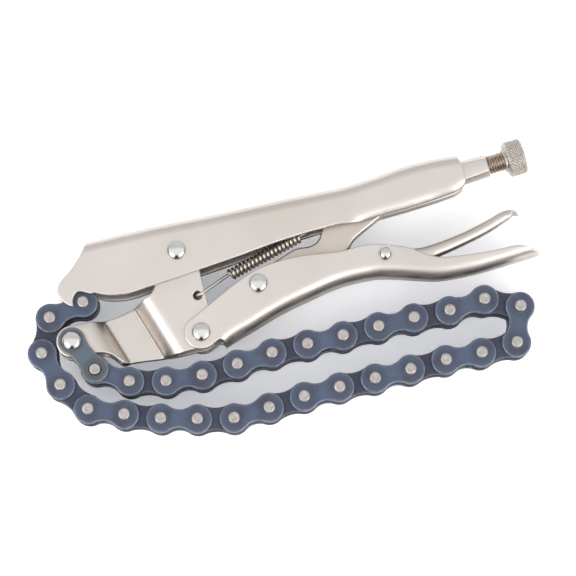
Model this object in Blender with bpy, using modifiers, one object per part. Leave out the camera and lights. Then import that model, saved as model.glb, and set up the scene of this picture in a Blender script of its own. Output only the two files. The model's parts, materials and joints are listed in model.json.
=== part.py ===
# Chain clamp: a locking plier whose lower jaw carries a roller chain, hooked back
# over the fixed handle.  Metres, +Z up, the tool lying on its side.
import math

import bmesh
import bpy
from mathutils import Matrix, Vector

# Place of the main pivot, so that the whole tool's box is centred on the origin.
TOOL_X = -0.0416
TOOL_Y = 0.0358

# Sheet, gaps and rivets.
FIXED_SHEET = 0.0024
LOWER_SHEET = 0.0022
JAW_SHEET = 0.0020
RUNNING_GAP = 0.0003
CUT_OVERRUN = 0.004
WELD_DISTANCE = 0.000002
FLAT_TURN = math.radians(0.01)
SEAM_DISTANCE = 0.00001
ROUND_SIDES = 16
RIVET_SHAFT_RADIUS = 0.0030
RIVET_HEAD_RADIUS = 0.0041
RIVET_HEAD_HEIGHT = 0.0018
LEVER_RIVET_SHAFT_RADIUS = 0.0019
LEVER_RIVET_HEAD_RADIUS = 0.0028

# Fixed handle: a channel that is open below, 0 at the main pivot.  Behind the pivot its
# outline follows its length, and before it the place of the hooked pin.
FIXED_LENGTH = 0.1840
FIXED_HOOK_SHARE = -0.2460
FIXED_DEPTH = 0.0257
FIXED_NOSE_HALF_WIDTH = 0.0122
FIXED_REAR_HALF_WIDTH = 0.0087
FIXED_SHOULDER = 0.0050
FIXED_FRONT_SHARES = [
    (-0.202, 0.588), (-0.212, 0.475), (-0.227, 0.346), (-0.253, 0.187), (-0.284, 0.039),
    (-0.295, -0.058), (-0.298, -0.144), (-0.295, -0.233), (-0.286, -0.342), (-0.277, -0.401),
    (-0.268, -0.401)]
FIXED_LOWER_SHARES = [
    (-0.213, -0.302), (-0.188, -0.397), (-0.160, -0.451), (-0.134, -0.479), (-0.081, -0.463),
    (0.118, -0.401), (0.246, -0.335), (0.390, -0.323), (0.417, -0.315), (0.441, -0.377),
    (0.585, -0.397), (0.677, -0.366), (0.698, -0.323), (0.705, -0.230)]
FIXED_TOP_SHARES = [
    (-0.340, 0.648), (-0.202, 0.588), (-0.041, 0.521), (0.124, 0.420), (0.272, 0.354),
    (0.365, 0.307), (0.424, 0.276), (0.502, 0.292), (0.572, 0.323), (0.641, 0.307),
    (0.685, 0.270), (0.720, 0.232)]
FIXED_WIDTH_SHARES = [(-0.340, 1.0), (0.10, 1.0), (0.46, 0.0), (0.80, 0.0)]

# Adjusting screw in the rear of the fixed handle, along X.  The sleeve stands out of
# the handle's end as a neck with flats, and the screw reaches in past its front.
SCREW_Y = -0.0011
SCREW_RADIUS = 0.00425
SCREW_REACH = 0.0050
SLEEVE_RADIUS = 0.00515
SLEEVE_SIDES = 8
SLEEVE_COLLAR_RADIUS = 0.0059
SLEEVE_FRONT_X = 0.1080
SLEEVE_COLLAR_LENGTH = 0.0110
NECK_LENGTH = 0.01208
KNOB_RADIUS = 0.0079
KNOB_COLLAR_RADIUS = 0.0056
KNOB_COLLAR_LENGTH = 0.0012
KNOB_LENGTH = 0.0082
KNOB_STANDOFF = 0.0085
KNOB_FLUTES = 24
KNOB_FLUTE_DEPTH = 0.0006
ROD_INSET = 0.0008

# Lower jaw: two pressed walls, spread at the pivot, pinched behind the nose and
# spread again at the nose.  Bend lines run BEND_TURN from the tool's own Y.  The
# outline's length follows the distance to the chain's first pin, at its nose.
CHAIN_START = (-0.0546, -0.0250)
NOSE_PIN_SHARE = -0.803
JAW_LENGTH = CHAIN_START[0] / NOSE_PIN_SHARE
JAW_DEPTH = 0.0390
JAW_PIVOT_HALF_WIDTH = 0.0095
JAW_PINCH_HALF_WIDTH = 0.0022
BEND_TURN = math.radians(15.4)
PIVOT_BEND_START = -0.0238
PIVOT_BEND_END = -0.0284
NOSE_BEND_START = -0.0436
NOSE_BEND_END = -0.0479
NOSE_RADIUS = 0.0070
JAW_SHARES = [
    (-0.662, -0.482), (-0.572, -0.508), (-0.447, -0.495), (-0.353, -0.459), (-0.297, -0.415),
    (-0.237, -0.379), (-0.200, -0.315), (-0.147, -0.131), (-0.121, 0.023), (-0.066, 0.167),
    (0.015, 0.218), (0.094, 0.156), (0.126, 0.023), (0.118, -0.156), (0.104, -0.303),
    (0.099, -0.682), (0.104, -0.900), (0.097, -1.015), (0.050, -1.105), (-0.015, -1.128),
    (-0.068, -1.113), (-0.171, -1.110), (-0.272, -1.103), (-0.397, -1.067), (-0.513, -1.036),
    (-0.534, -0.997), (-0.578, -0.908), (-0.626, -0.862), (-0.679, -0.841)]

# Lower handle: a channel that is open above, 0 at its rivet in the jaw.
HANDLE_RIVET = (0.0003, -0.0373)
LOWER_LENGTH = 0.1540
LOWER_DEPTH = 0.0280
LOWER_REAR_HALF_WIDTH = 0.0087
LOWER_SHOULDER = 0.0056
LOWER_EYE_RADIUS = 0.0074
LOWER_TOP_SHARES = [
    (-0.023, 0.225), (0.042, 0.375), (0.117, 0.550), (0.184, 0.675), (0.246, 0.721),
    (0.335, 0.704), (0.440, 0.607), (0.505, 0.600), (0.544, 0.568), (0.589, 0.475),
    (0.636, 0.354), (0.669, 0.207), (0.708, 0.089), (0.762, 0.021), (0.841, -0.039),
    (0.921, -0.079), (0.950, -0.130), (0.962, -0.243)]
LOWER_WEB_SHARES = [
    (-0.060, -0.470), (0.047, -0.460), (0.054, -0.290), (0.138, -0.168), (0.236, -0.029),
    (0.331, 0.057), (0.400, 0.108), (0.450, 0.112), (0.518, 0.075), (0.630, -0.129),
    (0.690, -0.235), (0.787, -0.293), (0.985, -0.297)]
LOWER_NOTCH_SHARES = [(0.031, -0.211), (0.051, -0.180)]
LOWER_WIDTH_SHARES = [(-0.060, 1.0), (0.24, 1.0), (0.66, 0.0), (1.02, 0.0)]

# Toggle link, 0 at its rivet in the lower handle.  Its tail ends a gap before the screw,
# because the linkage is open there and the tail swings forward and back again.
TOGGLE_RIVET = (0.0301, -0.0239)
TOGGLE_TAIL_GAP = 0.0075
TOGGLE_TAIL_SHARE = 0.934
TOGGLE_DEPTH = 0.0260
TOGGLE_HALF_WIDTH = 0.00425
TOGGLE_EYE_RADIUS = 0.0066
TOGGLE_SHARES = [
    (0.123, 0.300), (0.231, 0.385), (0.293, 0.425), (0.366, 0.395), (0.421, 0.425),
    (0.454, 0.495), (0.479, 0.623), (0.534, 0.819), (0.627, 0.946), (0.770, 0.985),
    (0.906, 1.000), (0.934, 0.920), (0.934, 0.731), (0.899, 0.596), (0.871, 0.554),
    (0.809, 0.477), (0.653, 0.288), (0.610, 0.173), (0.534, 0.046), (0.399, -0.062),
    (0.227, -0.146), (0.120, -0.215)]

# Release lever, 0 at its rivet in the lower handle.
LEVER_RIVET = (0.0869, -0.0269)
LEVER_LENGTH = 0.0750
LEVER_DEPTH = 0.0140
LEVER_HALF_WIDTH = 0.0060
LEVER_SHEET = 0.0018
LEVER_SHARES = [
    (-0.039, 0.300), (0.015, 0.314), (0.075, 0.200), (0.155, -0.007), (0.235, -0.086),
    (0.452, -0.014), (0.632, 0.164), (0.723, 0.271), (0.788, 0.271), (0.819, 0.186),
    (0.817, 0.079), (0.779, 0.007), (0.611, -0.221), (0.431, -0.393), (0.309, -0.479),
    (0.188, -0.529), (0.068, -0.414), (-0.039, -0.300), (-0.132, -0.243), (-0.177, -0.100),
    (-0.164, 0.071), (-0.105, 0.100)]

# Return spring between the jaw and the tab in the fixed handle.
SPRING_HOLE = (0.0033, -0.0212)
SPRING_HOLE_RADIUS = 0.0020
SPRING_WIRE = 0.0012
SPRING_COIL_RADIUS = 0.0023
SPRING_PITCH = 0.0022
SPRING_TURNS = 15
SPRING_TURN_POINTS = 9
SPRING_START = (0.0199, -0.0158)
SPRING_SLOPE = math.radians(12.7)
SPRING_HEIGHT = 0.0030
SPRING_BEND = 0.0014
SPRING_LEAD = 0.0058
SPRING_HOOK_POINTS = 5
TAB_X = 0.0590
TAB_THICKNESS = 0.0020
TAB_HALF_WIDTH = 0.0014
TAB_DEPTH = 0.0035

# Roller chain.
CHAIN_PITCH = 0.015875
PIN_RADIUS = 0.00255
PIN_SIDES = 10
PIN_HALF_LENGTH = 0.01225
ROLLER_RADIUS = 0.00508
ROLLER_SIDES = 12
ROLLER_HALF_LENGTH = 0.00475
LINK_SHEET = 0.0020
OUTER_END_RADIUS = 0.0065
OUTER_WAIST = 0.0040
INNER_END_RADIUS = 0.0069
INNER_WAIST = 0.0048
ANCHOR_END_RADIUS = 0.0056
ANCHOR_WAIST = 0.0046
LINK_END_POINTS = 6
LINK_END_TURN = math.radians(62)
HOOK_GAP = 0.0004

# Heading of each link in the tool's frame, anchor link first, in degrees.
CHAIN_HEADINGS = [
    -67, -35.5, -16, -7, 1, 1.5, -2.5, -3, -2, -2.5, -5, 1.5, -27.5, -112.5, -180.5, -185,
    -181.5, -182, -182.5, -181.5, -179, -180, -195, -197.5, -202.5, -205, -237.5, -255.5,
    -298.5, -351]

OUTER_PLATE_FACE = ROLLER_HALF_LENGTH + 2 * LINK_SHEET + RUNNING_GAP
ANCHOR_PLATE_FACE = OUTER_PLATE_FACE + RUNNING_GAP + LINK_SHEET
LOWER_FRONT_HALF_WIDTH = JAW_PIVOT_HALF_WIDTH + RUNNING_GAP + LOWER_SHEET
HEAD_SEAT = FIXED_NOSE_HALF_WIDTH + RUNNING_GAP
MID_HEIGHT = HEAD_SEAT + RIVET_HEAD_HEIGHT
SLEEVE_REAR_X = FIXED_LOWER_SHARES[-1][0] * FIXED_LENGTH + NECK_LENGTH
SCREW_TIP_X = SLEEVE_FRONT_X - SCREW_REACH
KNOB_REAR_X = SLEEVE_REAR_X + KNOB_STANDOFF + KNOB_LENGTH
TOGGLE_LENGTH = (SCREW_TIP_X - TOGGLE_TAIL_GAP - TOGGLE_RIVET[0]) / TOGGLE_TAIL_SHARE

NICKEL = ((0.62, 0.59, 0.55), 0.42, 0.85)
BRIGHT = ((0.72, 0.71, 0.70), 0.22, 1.0)
BLUED = ((0.09, 0.12, 0.19), 0.36, 0.9)
DARK_STEEL = ((0.10, 0.085, 0.09), 0.42, 0.85)
SPRING_STEEL = ((0.42, 0.40, 0.37), 0.35, 0.95)
THREAD = ((0.48, 0.42, 0.36), 0.38, 0.95)


def clear_scene():
    for item in list(bpy.data.objects):
        bpy.data.objects.remove(item, do_unlink=True)


def make_collection(name):
    collection = bpy.data.collections.new(name)
    bpy.context.scene.collection.children.link(collection)
    return collection


def give_material(item, look):
    colour, roughness, metallic = look
    material = bpy.data.materials.new(item.name)
    material.use_nodes = True
    shader = material.node_tree.nodes["Principled BSDF"]
    shader.inputs["Base Color"].default_value = (*colour, 1)
    shader.inputs["Roughness"].default_value = roughness
    shader.inputs["Metallic"].default_value = metallic
    item.data.materials.append(material)


def scaled(shares, length, depth, offset=(0, 0)):
    return [(x * length + offset[0], y * depth + offset[1]) for x, y in shares]


def share_at(shares, place):
    """Value between the two entries of a table of shares that hold the place."""
    for (x0, y0), (x1, y1) in zip(shares, shares[1:]):
        if place <= x1:
            return y0 + (y1 - y0) * (place - x0) / (x1 - x0)
    return shares[-1][1]


def arc(centre, radius, start, end, count):
    steps = [start + (end - start) * index / (count - 1) for index in range(count)]
    return [(centre[0] + radius * math.cos(a), centre[1] + radius * math.sin(a)) for a in steps]


def bore_radius(radius, sides):
    """Radius of a faceted bore whose flats stay the running gap off a round piece."""
    return (radius + RUNNING_GAP) / math.cos(math.pi / sides)


def new_object(name, mesh, collection):
    item = bpy.data.objects.new(name, mesh)
    collection.objects.link(item)
    return item


def mesh_of_curve(curve):
    """Closed mesh of a curve with its caps welded on."""
    holder = bpy.data.objects.new(curve.name, curve)
    bpy.context.scene.collection.objects.link(holder)
    bpy.context.view_layer.update()
    graph = bpy.context.evaluated_depsgraph_get()
    mesh = bpy.data.meshes.new_from_object(holder.evaluated_get(graph))
    bpy.data.objects.remove(holder, do_unlink=True)
    body = bmesh.new()
    body.from_mesh(mesh)
    bmesh.ops.remove_doubles(body, verts=body.verts, dist=WELD_DISTANCE)
    bmesh.ops.recalc_face_normals(body, faces=body.faces)
    if curve.dimensions == "2D":
        flat = [edge for edge in body.edges if edge.calc_face_angle(math.pi) < FLAT_TURN]
        bmesh.ops.dissolve_edges(body, edges=flat, use_verts=False)
    body.to_mesh(mesh)
    body.free()
    return mesh


def outline_mesh(name, points, half_width):
    """Flat outline in X and Y, extruded to the half width on both sides."""
    curve = bpy.data.curves.new(name, "CURVE")
    curve.dimensions = "2D"
    curve.fill_mode = "BOTH"
    curve.extrude = half_width
    spline = curve.splines.new("POLY")
    spline.points.add(len(points) - 1)
    for target, (x, y) in zip(spline.points, points):
        target.co = (x, y, 0, 1)
    spline.use_cyclic_u = True
    return mesh_of_curve(curve)


def joined(name, meshes_and_moves):
    """One mesh of several, each moved by its matrix."""
    body = bmesh.new()
    for mesh, move in meshes_and_moves:
        piece = mesh.copy()
        piece.transform(move)
        body.from_mesh(piece)
        bpy.data.meshes.remove(piece)
    mesh = bpy.data.meshes.new(name)
    body.to_mesh(mesh)
    body.free()
    return mesh


def rod_mesh(name, radius, start, end, sides):
    """Cylinder along Z between two heights."""
    body = bmesh.new()
    centre = Matrix.Translation((0, 0, (start + end) / 2))
    bmesh.ops.create_cone(
        body, cap_ends=True, segments=sides, radius1=radius, radius2=radius,
        depth=end - start, matrix=centre)
    mesh = bpy.data.meshes.new(name)
    body.to_mesh(mesh)
    body.free()
    return mesh


def box_mesh(name, low, high):
    body = bmesh.new()
    size = [b - a for a, b in zip(low, high)]
    centre = [(a + b) / 2 for a, b in zip(low, high)]
    place = Matrix.Translation(centre) @ Matrix.Diagonal((*size, 1))
    bmesh.ops.create_cube(body, size=1, matrix=place)
    mesh = bpy.data.meshes.new(name)
    body.to_mesh(mesh)
    body.free()
    return mesh


def channel_mesh(name, stations, side, shoulder, sheet, edge):
    """Folded sheet: a web along the stations, two cheeks to the edge.

    A station is its X, the web's Y and the half width.  The web is above the cheeks
    where side is 1 and below them where side is -1.
    """
    body = bmesh.new()
    rows = []
    bend_points = 4
    for x, web, half_width in stations:
        row = [(edge, half_width)]
        for index in range(bend_points):
            turn = math.pi / 2 * index / (bend_points - 1)
            rise = shoulder * math.sin(turn)
            inset = shoulder * (1 - math.cos(turn))
            row.append((web - side * (shoulder - rise), half_width - inset))
        row += [(y, -z) for y, z in reversed(row)]
        rows.append([body.verts.new((x, y, z)) for y, z in row])
    for first, second in zip(rows, rows[1:]):
        for index in range(len(first) - 1):
            corners = (first[index], first[index + 1], second[index + 1], second[index])
            body.faces.new(corners if side < 0 else tuple(reversed(corners)))
    mesh = bpy.data.meshes.new(name)
    body.to_mesh(mesh)
    body.free()
    return mesh


def combine(item, mesh, operation, tool_place=None):
    """Boolean of the piece with a tool mesh in the piece's own frame."""
    tool = new_object(item.name + "_tool", mesh, CUTTERS)
    tool.matrix_world = item.matrix_world if tool_place is None else tool_place
    tool.hide_render = True
    tool.display_type = "WIRE"
    step = item.modifiers.new(operation.lower(), "BOOLEAN")
    step.operation = operation
    step.solver = "EXACT"
    step.object = tool


def weld(item):
    """Merge the tiny edges that a cut leaves where it meets a corner."""
    step = item.modifiers.new("weld", "WELD")
    step.merge_threshold = WELD_DISTANCE


def drill(item, place, radius, half_length, sides=ROUND_SIDES):
    mesh = rod_mesh("bore", bore_radius(radius, sides), -half_length, half_length, sides)
    mesh.transform(Matrix.Translation((place[0], place[1], 0)))
    combine(item, mesh, "DIFFERENCE")


def place_piece(name, mesh, centre, look, turn=0.0):
    """Piece with its origin on the joint axis at centre, given from the main pivot."""
    item = new_object(name, mesh, PARTS)
    item.location = (TOOL_X + centre[0], TOOL_Y + centre[1], MID_HEIGHT)
    item.rotation_euler = (0, 0, turn)
    give_material(item, look)
    bpy.context.view_layer.update()
    return item


def rivet(name, centre, seat, shaft_radius, head_radius, head_height, look):
    """Rivet along Z: a round shaft with a domed head outside each seat."""
    dome_points = 4
    profile = []
    for index in range(dome_points):
        turn = math.pi / 2 * index / (dome_points - 1)
        profile.append((head_radius * math.sin(turn), seat + head_height * math.cos(turn)))
    profile.append((shaft_radius, seat))
    profile += [(r, -z) for r, z in reversed(profile)]
    body = bmesh.new()
    verts = [body.verts.new((r, 0, z)) for r, z in profile]
    for first, second in zip(verts, verts[1:]):
        body.edges.new((first, second))
    mesh = bpy.data.meshes.new(name)
    body.to_mesh(mesh)
    body.free()
    item = place_piece(name, mesh, centre, look)
    spin = item.modifiers.new("turned", "SCREW")
    spin.axis = "Z"
    spin.steps = ROUND_SIDES
    spin.render_steps = ROUND_SIDES
    spin.use_merge_vertices = True
    spin.merge_threshold = SEAM_DISTANCE
    return item


def spring_line_y(x):
    """Height in the drawing of the coil's axis over X."""
    return SPRING_START[1] + (x - SPRING_START[0]) * math.tan(SPRING_SLOPE)


def along_handle(shares, hook):
    """Outline points of the fixed handle in X and Y."""
    nose = hook[0] / FIXED_HOOK_SHARE
    return [(x * (FIXED_LENGTH if x > 0 else nose), y * FIXED_DEPTH) for x, y in shares]


def add_fixed_handle():
    hook = chain_pins()[-1]
    stations = []
    for x, y in FIXED_TOP_SHARES:
        spread = share_at(FIXED_WIDTH_SHARES, x)
        width = FIXED_REAR_HALF_WIDTH + spread * (FIXED_NOSE_HALF_WIDTH - FIXED_REAR_HALF_WIDTH)
        stations.append((*along_handle([(x, y)], hook)[0], width))
    lowest = -FIXED_DEPTH
    mesh = channel_mesh("fixed_handle", stations, 1, FIXED_SHOULDER, FIXED_SHEET, lowest)
    item = place_piece("fixed_handle", mesh, (0, 0), NICKEL)
    fold = item.modifiers.new("sheet", "SOLIDIFY")
    fold.thickness = FIXED_SHEET
    fold.offset = -1
    notch_radius = PIN_RADIUS + HOOK_GAP
    notch = arc(hook, notch_radius, math.pi, math.radians(20), 7)
    front = along_handle(FIXED_FRONT_SHARES, hook)
    lower = along_handle(FIXED_LOWER_SHARES, hook)
    notch_foot = (hook[0] - notch_radius, front[-1][1] + PIN_RADIUS / 2)
    above = FIXED_DEPTH
    outline = [(front[0][0], above)] + front + [notch_foot] + notch + lower
    outline.append((lower[-1][0], above))
    side = outline_mesh("fixed_outline", outline, FIXED_NOSE_HALF_WIDTH + CUT_OVERRUN)
    combine(item, side, "INTERSECT")
    drill(item, (0, 0), RIVET_SHAFT_RADIUS, FIXED_NOSE_HALF_WIDTH + CUT_OVERRUN)
    neck_reach = SLEEVE_RADIUS / math.cos(math.pi / SLEEVE_SIDES)
    sleeve = rod_mesh("sleeve_bore", bore_radius(neck_reach, ROUND_SIDES),
                      SLEEVE_FRONT_X, SLEEVE_REAR_X, ROUND_SIDES)
    sleeve.transform(Matrix.Translation((0, SCREW_Y, 0)) @ Matrix.Rotation(math.pi / 2, 4, "Y"))
    combine(item, sleeve, "DIFFERENCE")
    web = share_at(FIXED_TOP_SHARES, TAB_X / FIXED_LENGTH) * FIXED_DEPTH
    tab_foot = spring_line_y(TAB_X) - TAB_DEPTH
    tab = box_mesh(
        "tab", (TAB_X - TAB_THICKNESS / 2, tab_foot, -TAB_HALF_WIDTH),
        (TAB_X + TAB_THICKNESS / 2, web - FIXED_SHEET / 2, TAB_HALF_WIDTH))
    combine(item, tab, "UNION")


def add_screw():
    """Threaded sleeve in the handle's rear, and the screw with its knurled knob."""
    along = Matrix.Rotation(math.pi / 2, 4, "Y")
    neck_front = SLEEVE_FRONT_X + SLEEVE_COLLAR_LENGTH / 2
    flats = math.pi / SLEEVE_SIDES
    shell = rod_mesh("threaded_sleeve", SLEEVE_RADIUS / math.cos(flats), neck_front,
                     SLEEVE_REAR_X, SLEEVE_SIDES)
    shell.transform(along @ Matrix.Rotation(flats, 4, "Z"))
    sleeve = place_piece("threaded_sleeve", shell, (0, SCREW_Y), NICKEL)
    collar = rod_mesh("collar", SLEEVE_COLLAR_RADIUS, SLEEVE_FRONT_X,
                      SLEEVE_FRONT_X + SLEEVE_COLLAR_LENGTH, ROUND_SIDES)
    collar.transform(along)
    bore = rod_mesh("bore", bore_radius(SCREW_RADIUS, ROUND_SIDES),
                    SLEEVE_FRONT_X - CUT_OVERRUN, SLEEVE_REAR_X + CUT_OVERRUN, ROUND_SIDES)
    bore.transform(along)
    combine(sleeve, collar, "UNION")
    combine(sleeve, bore, "DIFFERENCE")
    knob_front = KNOB_REAR_X - KNOB_LENGTH
    rod = rod_mesh("adjusting_screw", SCREW_RADIUS, SCREW_TIP_X, KNOB_REAR_X - ROD_INSET,
                   ROUND_SIDES)
    rod.transform(along)
    screw = place_piece("adjusting_screw", rod, (0, SCREW_Y), THREAD)
    neck = rod_mesh("knob_collar", KNOB_COLLAR_RADIUS, knob_front - KNOB_COLLAR_LENGTH,
                    KNOB_REAR_X - KNOB_LENGTH / 2, ROUND_SIDES)
    neck.transform(along)
    flutes = []
    for index in range(2 * KNOB_FLUTES):
        radius = KNOB_RADIUS - KNOB_FLUTE_DEPTH * (index % 2)
        turn = math.pi * index / KNOB_FLUTES
        flutes.append((radius * math.cos(turn), radius * math.sin(turn)))
    disc = outline_mesh("knob_disc", flutes, KNOB_LENGTH / 2)
    disc.transform(Matrix.Translation((KNOB_REAR_X - KNOB_LENGTH / 2, 0, 0)) @ along)
    combine(screw, neck, "UNION")
    combine(screw, disc, "UNION")


def jaw_section():
    """Outline of the pressed walls across the bends: along the jaw, then Z."""
    wide = JAW_PIVOT_HALF_WIDTH
    pinch = JAW_PINCH_HALF_WIDTH
    nose = OUTER_PLATE_FACE
    far = JAW_LENGTH
    slant = JAW_SHEET / 2
    outer = [(far, wide), (PIVOT_BEND_START, wide), (PIVOT_BEND_END, pinch),
             (NOSE_BEND_START, pinch), (NOSE_BEND_END, nose), (-2 * far, nose)]
    nose_pocket = [(-2 * far, nose - JAW_SHEET), (NOSE_BEND_END - slant, nose - JAW_SHEET),
                   (NOSE_BEND_START - slant, 0), (NOSE_BEND_END - slant, JAW_SHEET - nose),
                   (-2 * far, JAW_SHEET - nose)]
    pivot_pocket = [(far, JAW_SHEET - wide), (PIVOT_BEND_START + slant, JAW_SHEET - wide),
                    (PIVOT_BEND_END + slant, 0), (PIVOT_BEND_START + slant, wide - JAW_SHEET),
                    (far, wide - JAW_SHEET)]
    return outer + nose_pocket + [(x, -z) for x, z in reversed(outer)] + pivot_pocket


def add_lower_jaw():
    mesh = outline_mesh("lower_jaw", jaw_section(), 2 * JAW_DEPTH)
    mesh.transform(Matrix.Rotation(BEND_TURN, 4, "Z") @ Matrix.Rotation(math.pi / 2, 4, "X"))
    item = place_piece("lower_jaw", mesh, (0, 0), NICKEL)
    outline = scaled(JAW_SHARES, JAW_LENGTH, JAW_DEPTH)
    outline += arc(CHAIN_START, NOSE_RADIUS, math.radians(-62), math.radians(-298), 12)
    side = outline_mesh("jaw_outline", outline, JAW_PIVOT_HALF_WIDTH + CUT_OVERRUN)
    combine(item, side, "INTERSECT")
    reach = JAW_PIVOT_HALF_WIDTH + CUT_OVERRUN
    drill(item, (0, 0), RIVET_SHAFT_RADIUS, reach)
    drill(item, HANDLE_RIVET, RIVET_SHAFT_RADIUS, reach)
    drill(item, CHAIN_START, RIVET_SHAFT_RADIUS, reach)
    hole = rod_mesh("spring_hole", SPRING_HOLE_RADIUS, 0, reach, ROUND_SIDES)
    hole.transform(Matrix.Translation((*SPRING_HOLE, 0)))
    combine(item, hole, "DIFFERENCE")


def add_lower_handle():
    stations = []
    for x, y in LOWER_WEB_SHARES:
        spread = share_at(LOWER_WIDTH_SHARES, x)
        width = LOWER_REAR_HALF_WIDTH + spread * (LOWER_FRONT_HALF_WIDTH - LOWER_REAR_HALF_WIDTH)
        stations.append((x * LOWER_LENGTH, y * LOWER_DEPTH, width))
    highest = LOWER_DEPTH
    mesh = channel_mesh("lower_handle", stations, -1, LOWER_SHOULDER, LOWER_SHEET, highest)
    item = place_piece("lower_handle", mesh, HANDLE_RIVET, NICKEL)
    fold = item.modifiers.new("sheet", "SOLIDIFY")
    fold.thickness = LOWER_SHEET
    fold.offset = -1
    eye = arc((0, 0), LOWER_EYE_RADIUS, math.radians(138), math.radians(305), 11)
    notch = scaled(LOWER_NOTCH_SHARES, LOWER_LENGTH, LOWER_DEPTH)
    top = scaled(LOWER_TOP_SHARES, LOWER_LENGTH, LOWER_DEPTH)
    below = -LOWER_DEPTH
    outline = eye + notch + [(notch[-1][0], below), (top[-1][0], below)] + top[::-1]
    side = outline_mesh("lower_outline", outline, LOWER_FRONT_HALF_WIDTH + CUT_OVERRUN)
    combine(item, side, "INTERSECT")
    reach = LOWER_FRONT_HALF_WIDTH + CUT_OVERRUN
    drill(item, (0, 0), RIVET_SHAFT_RADIUS, reach)
    drill(item, toward(TOGGLE_RIVET, HANDLE_RIVET), RIVET_SHAFT_RADIUS, reach)
    drill(item, toward(LEVER_RIVET, HANDLE_RIVET), LEVER_RIVET_SHAFT_RADIUS, reach)


def toward(point, start):
    return (point[0] - start[0], point[1] - start[1])


def add_toggle_link():
    eye = arc((0, 0), TOGGLE_EYE_RADIUS, math.radians(245), math.radians(118), 8)
    outline = scaled(TOGGLE_SHARES, TOGGLE_LENGTH, TOGGLE_DEPTH) + eye
    mesh = outline_mesh("toggle_link", outline, TOGGLE_HALF_WIDTH)
    item = place_piece("toggle_link", mesh, TOGGLE_RIVET, NICKEL)
    drill(item, (0, 0), RIVET_SHAFT_RADIUS, TOGGLE_HALF_WIDTH + CUT_OVERRUN)


def add_release_lever():
    outline = scaled(LEVER_SHARES, LEVER_LENGTH, LEVER_DEPTH)
    mesh = outline_mesh("release_lever", outline, LEVER_HALF_WIDTH)
    item = place_piece("release_lever", mesh, LEVER_RIVET, NICKEL)
    pocket = outline_mesh("lever_pocket", outline, LEVER_HALF_WIDTH - LEVER_SHEET)
    pocket.transform(Matrix.Translation((0, -LEVER_SHEET, 0)))
    combine(item, pocket, "DIFFERENCE")
    drill(item, (0, 0), LEVER_RIVET_SHAFT_RADIUS, LEVER_HALF_WIDTH + CUT_OVERRUN)


def add_rivets():
    size = (RIVET_SHAFT_RADIUS, RIVET_HEAD_RADIUS, RIVET_HEAD_HEIGHT, BRIGHT)
    handle_width = share_at(LOWER_WIDTH_SHARES, (TOGGLE_RIVET[0] - HANDLE_RIVET[0]) / LOWER_LENGTH)
    step = LOWER_FRONT_HALF_WIDTH - LOWER_REAR_HALF_WIDTH
    toggle_seat = LOWER_REAR_HALF_WIDTH + handle_width * step + RUNNING_GAP
    lever_width = share_at(LOWER_WIDTH_SHARES, (LEVER_RIVET[0] - LEVER_RIVET_HEAD_RADIUS
                                                - HANDLE_RIVET[0]) / LOWER_LENGTH)
    lever_seat = LOWER_REAR_HALF_WIDTH + lever_width * step + RUNNING_GAP
    rivet("main_pivot_rivet", (0, 0), HEAD_SEAT, *size)
    rivet("handle_rivet", HANDLE_RIVET, LOWER_FRONT_HALF_WIDTH + RUNNING_GAP, *size)
    rivet("toggle_rivet", TOGGLE_RIVET, toggle_seat, *size)
    rivet("lever_rivet", LEVER_RIVET, lever_seat, LEVER_RIVET_SHAFT_RADIUS,
          LEVER_RIVET_HEAD_RADIUS, RIVET_HEAD_HEIGHT, BRIGHT)
    rivet("anchor_rivet", CHAIN_START, ANCHOR_PLATE_FACE + RUNNING_GAP, *size)


def spring_points():
    """Wire of the return spring: jaw hook, lead, coil, and the hook round the tab."""
    wire = SPRING_WIRE / 2
    over_jaw = JAW_PIVOT_HALF_WIDTH + RUNNING_GAP + wire
    bend = SPRING_BEND
    hole_x, hole_y = SPRING_HOLE
    points = [Vector((hole_x, hole_y, over_jaw - bend - JAW_SHEET - SPRING_WIRE))]
    for index in range(SPRING_HOOK_POINTS):
        turn = math.pi / 2 * index / (SPRING_HOOK_POINTS - 1)
        points.append(Vector((hole_x + bend * (1 - math.cos(turn)), hole_y,
                              over_jaw - bend + bend * math.sin(turn))))
    along = Vector((math.cos(SPRING_SLOPE), math.sin(SPRING_SLOPE), 0))
    across = Vector((-math.sin(SPRING_SLOPE), math.cos(SPRING_SLOPE), 0))
    start = Vector((*SPRING_START, SPRING_HEIGHT))
    points.append(Vector((hole_x + SPRING_LEAD, hole_y, over_jaw)))
    coil = []
    for index in range(SPRING_TURNS * SPRING_TURN_POINTS + 1):
        turn = index / SPRING_TURN_POINTS
        angle = math.pi / 2 + math.tau * turn
        ring = across * math.cos(angle) + Vector((0, 0, 1)) * math.sin(angle)
        coil.append(start + along * SPRING_PITCH * turn + ring * SPRING_COIL_RADIUS)
    points += coil
    past = TAB_X + TAB_THICKNESS / 2 + RUNNING_GAP + wire
    beside = TAB_HALF_WIDTH + RUNNING_GAP + wire
    hook_y = spring_line_y(TAB_X)
    before = TAB_X - TAB_THICKNESS / 2 - wire
    points.append(Vector((before, hook_y, beside)))
    points.append(Vector((past - wire, hook_y, beside)))
    points.append(Vector((past, hook_y, beside - wire)))
    points.append(Vector((past, hook_y, -beside)))
    return points


def least_spring_gap(points):
    """Least clear gap between turns, on the wire's own points."""
    least = SPRING_PITCH
    for index, point in enumerate(points):
        for other in points[index + SPRING_TURN_POINTS - 2:]:
            least = min(least, (point - other).length - SPRING_WIRE)
    return least


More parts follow.
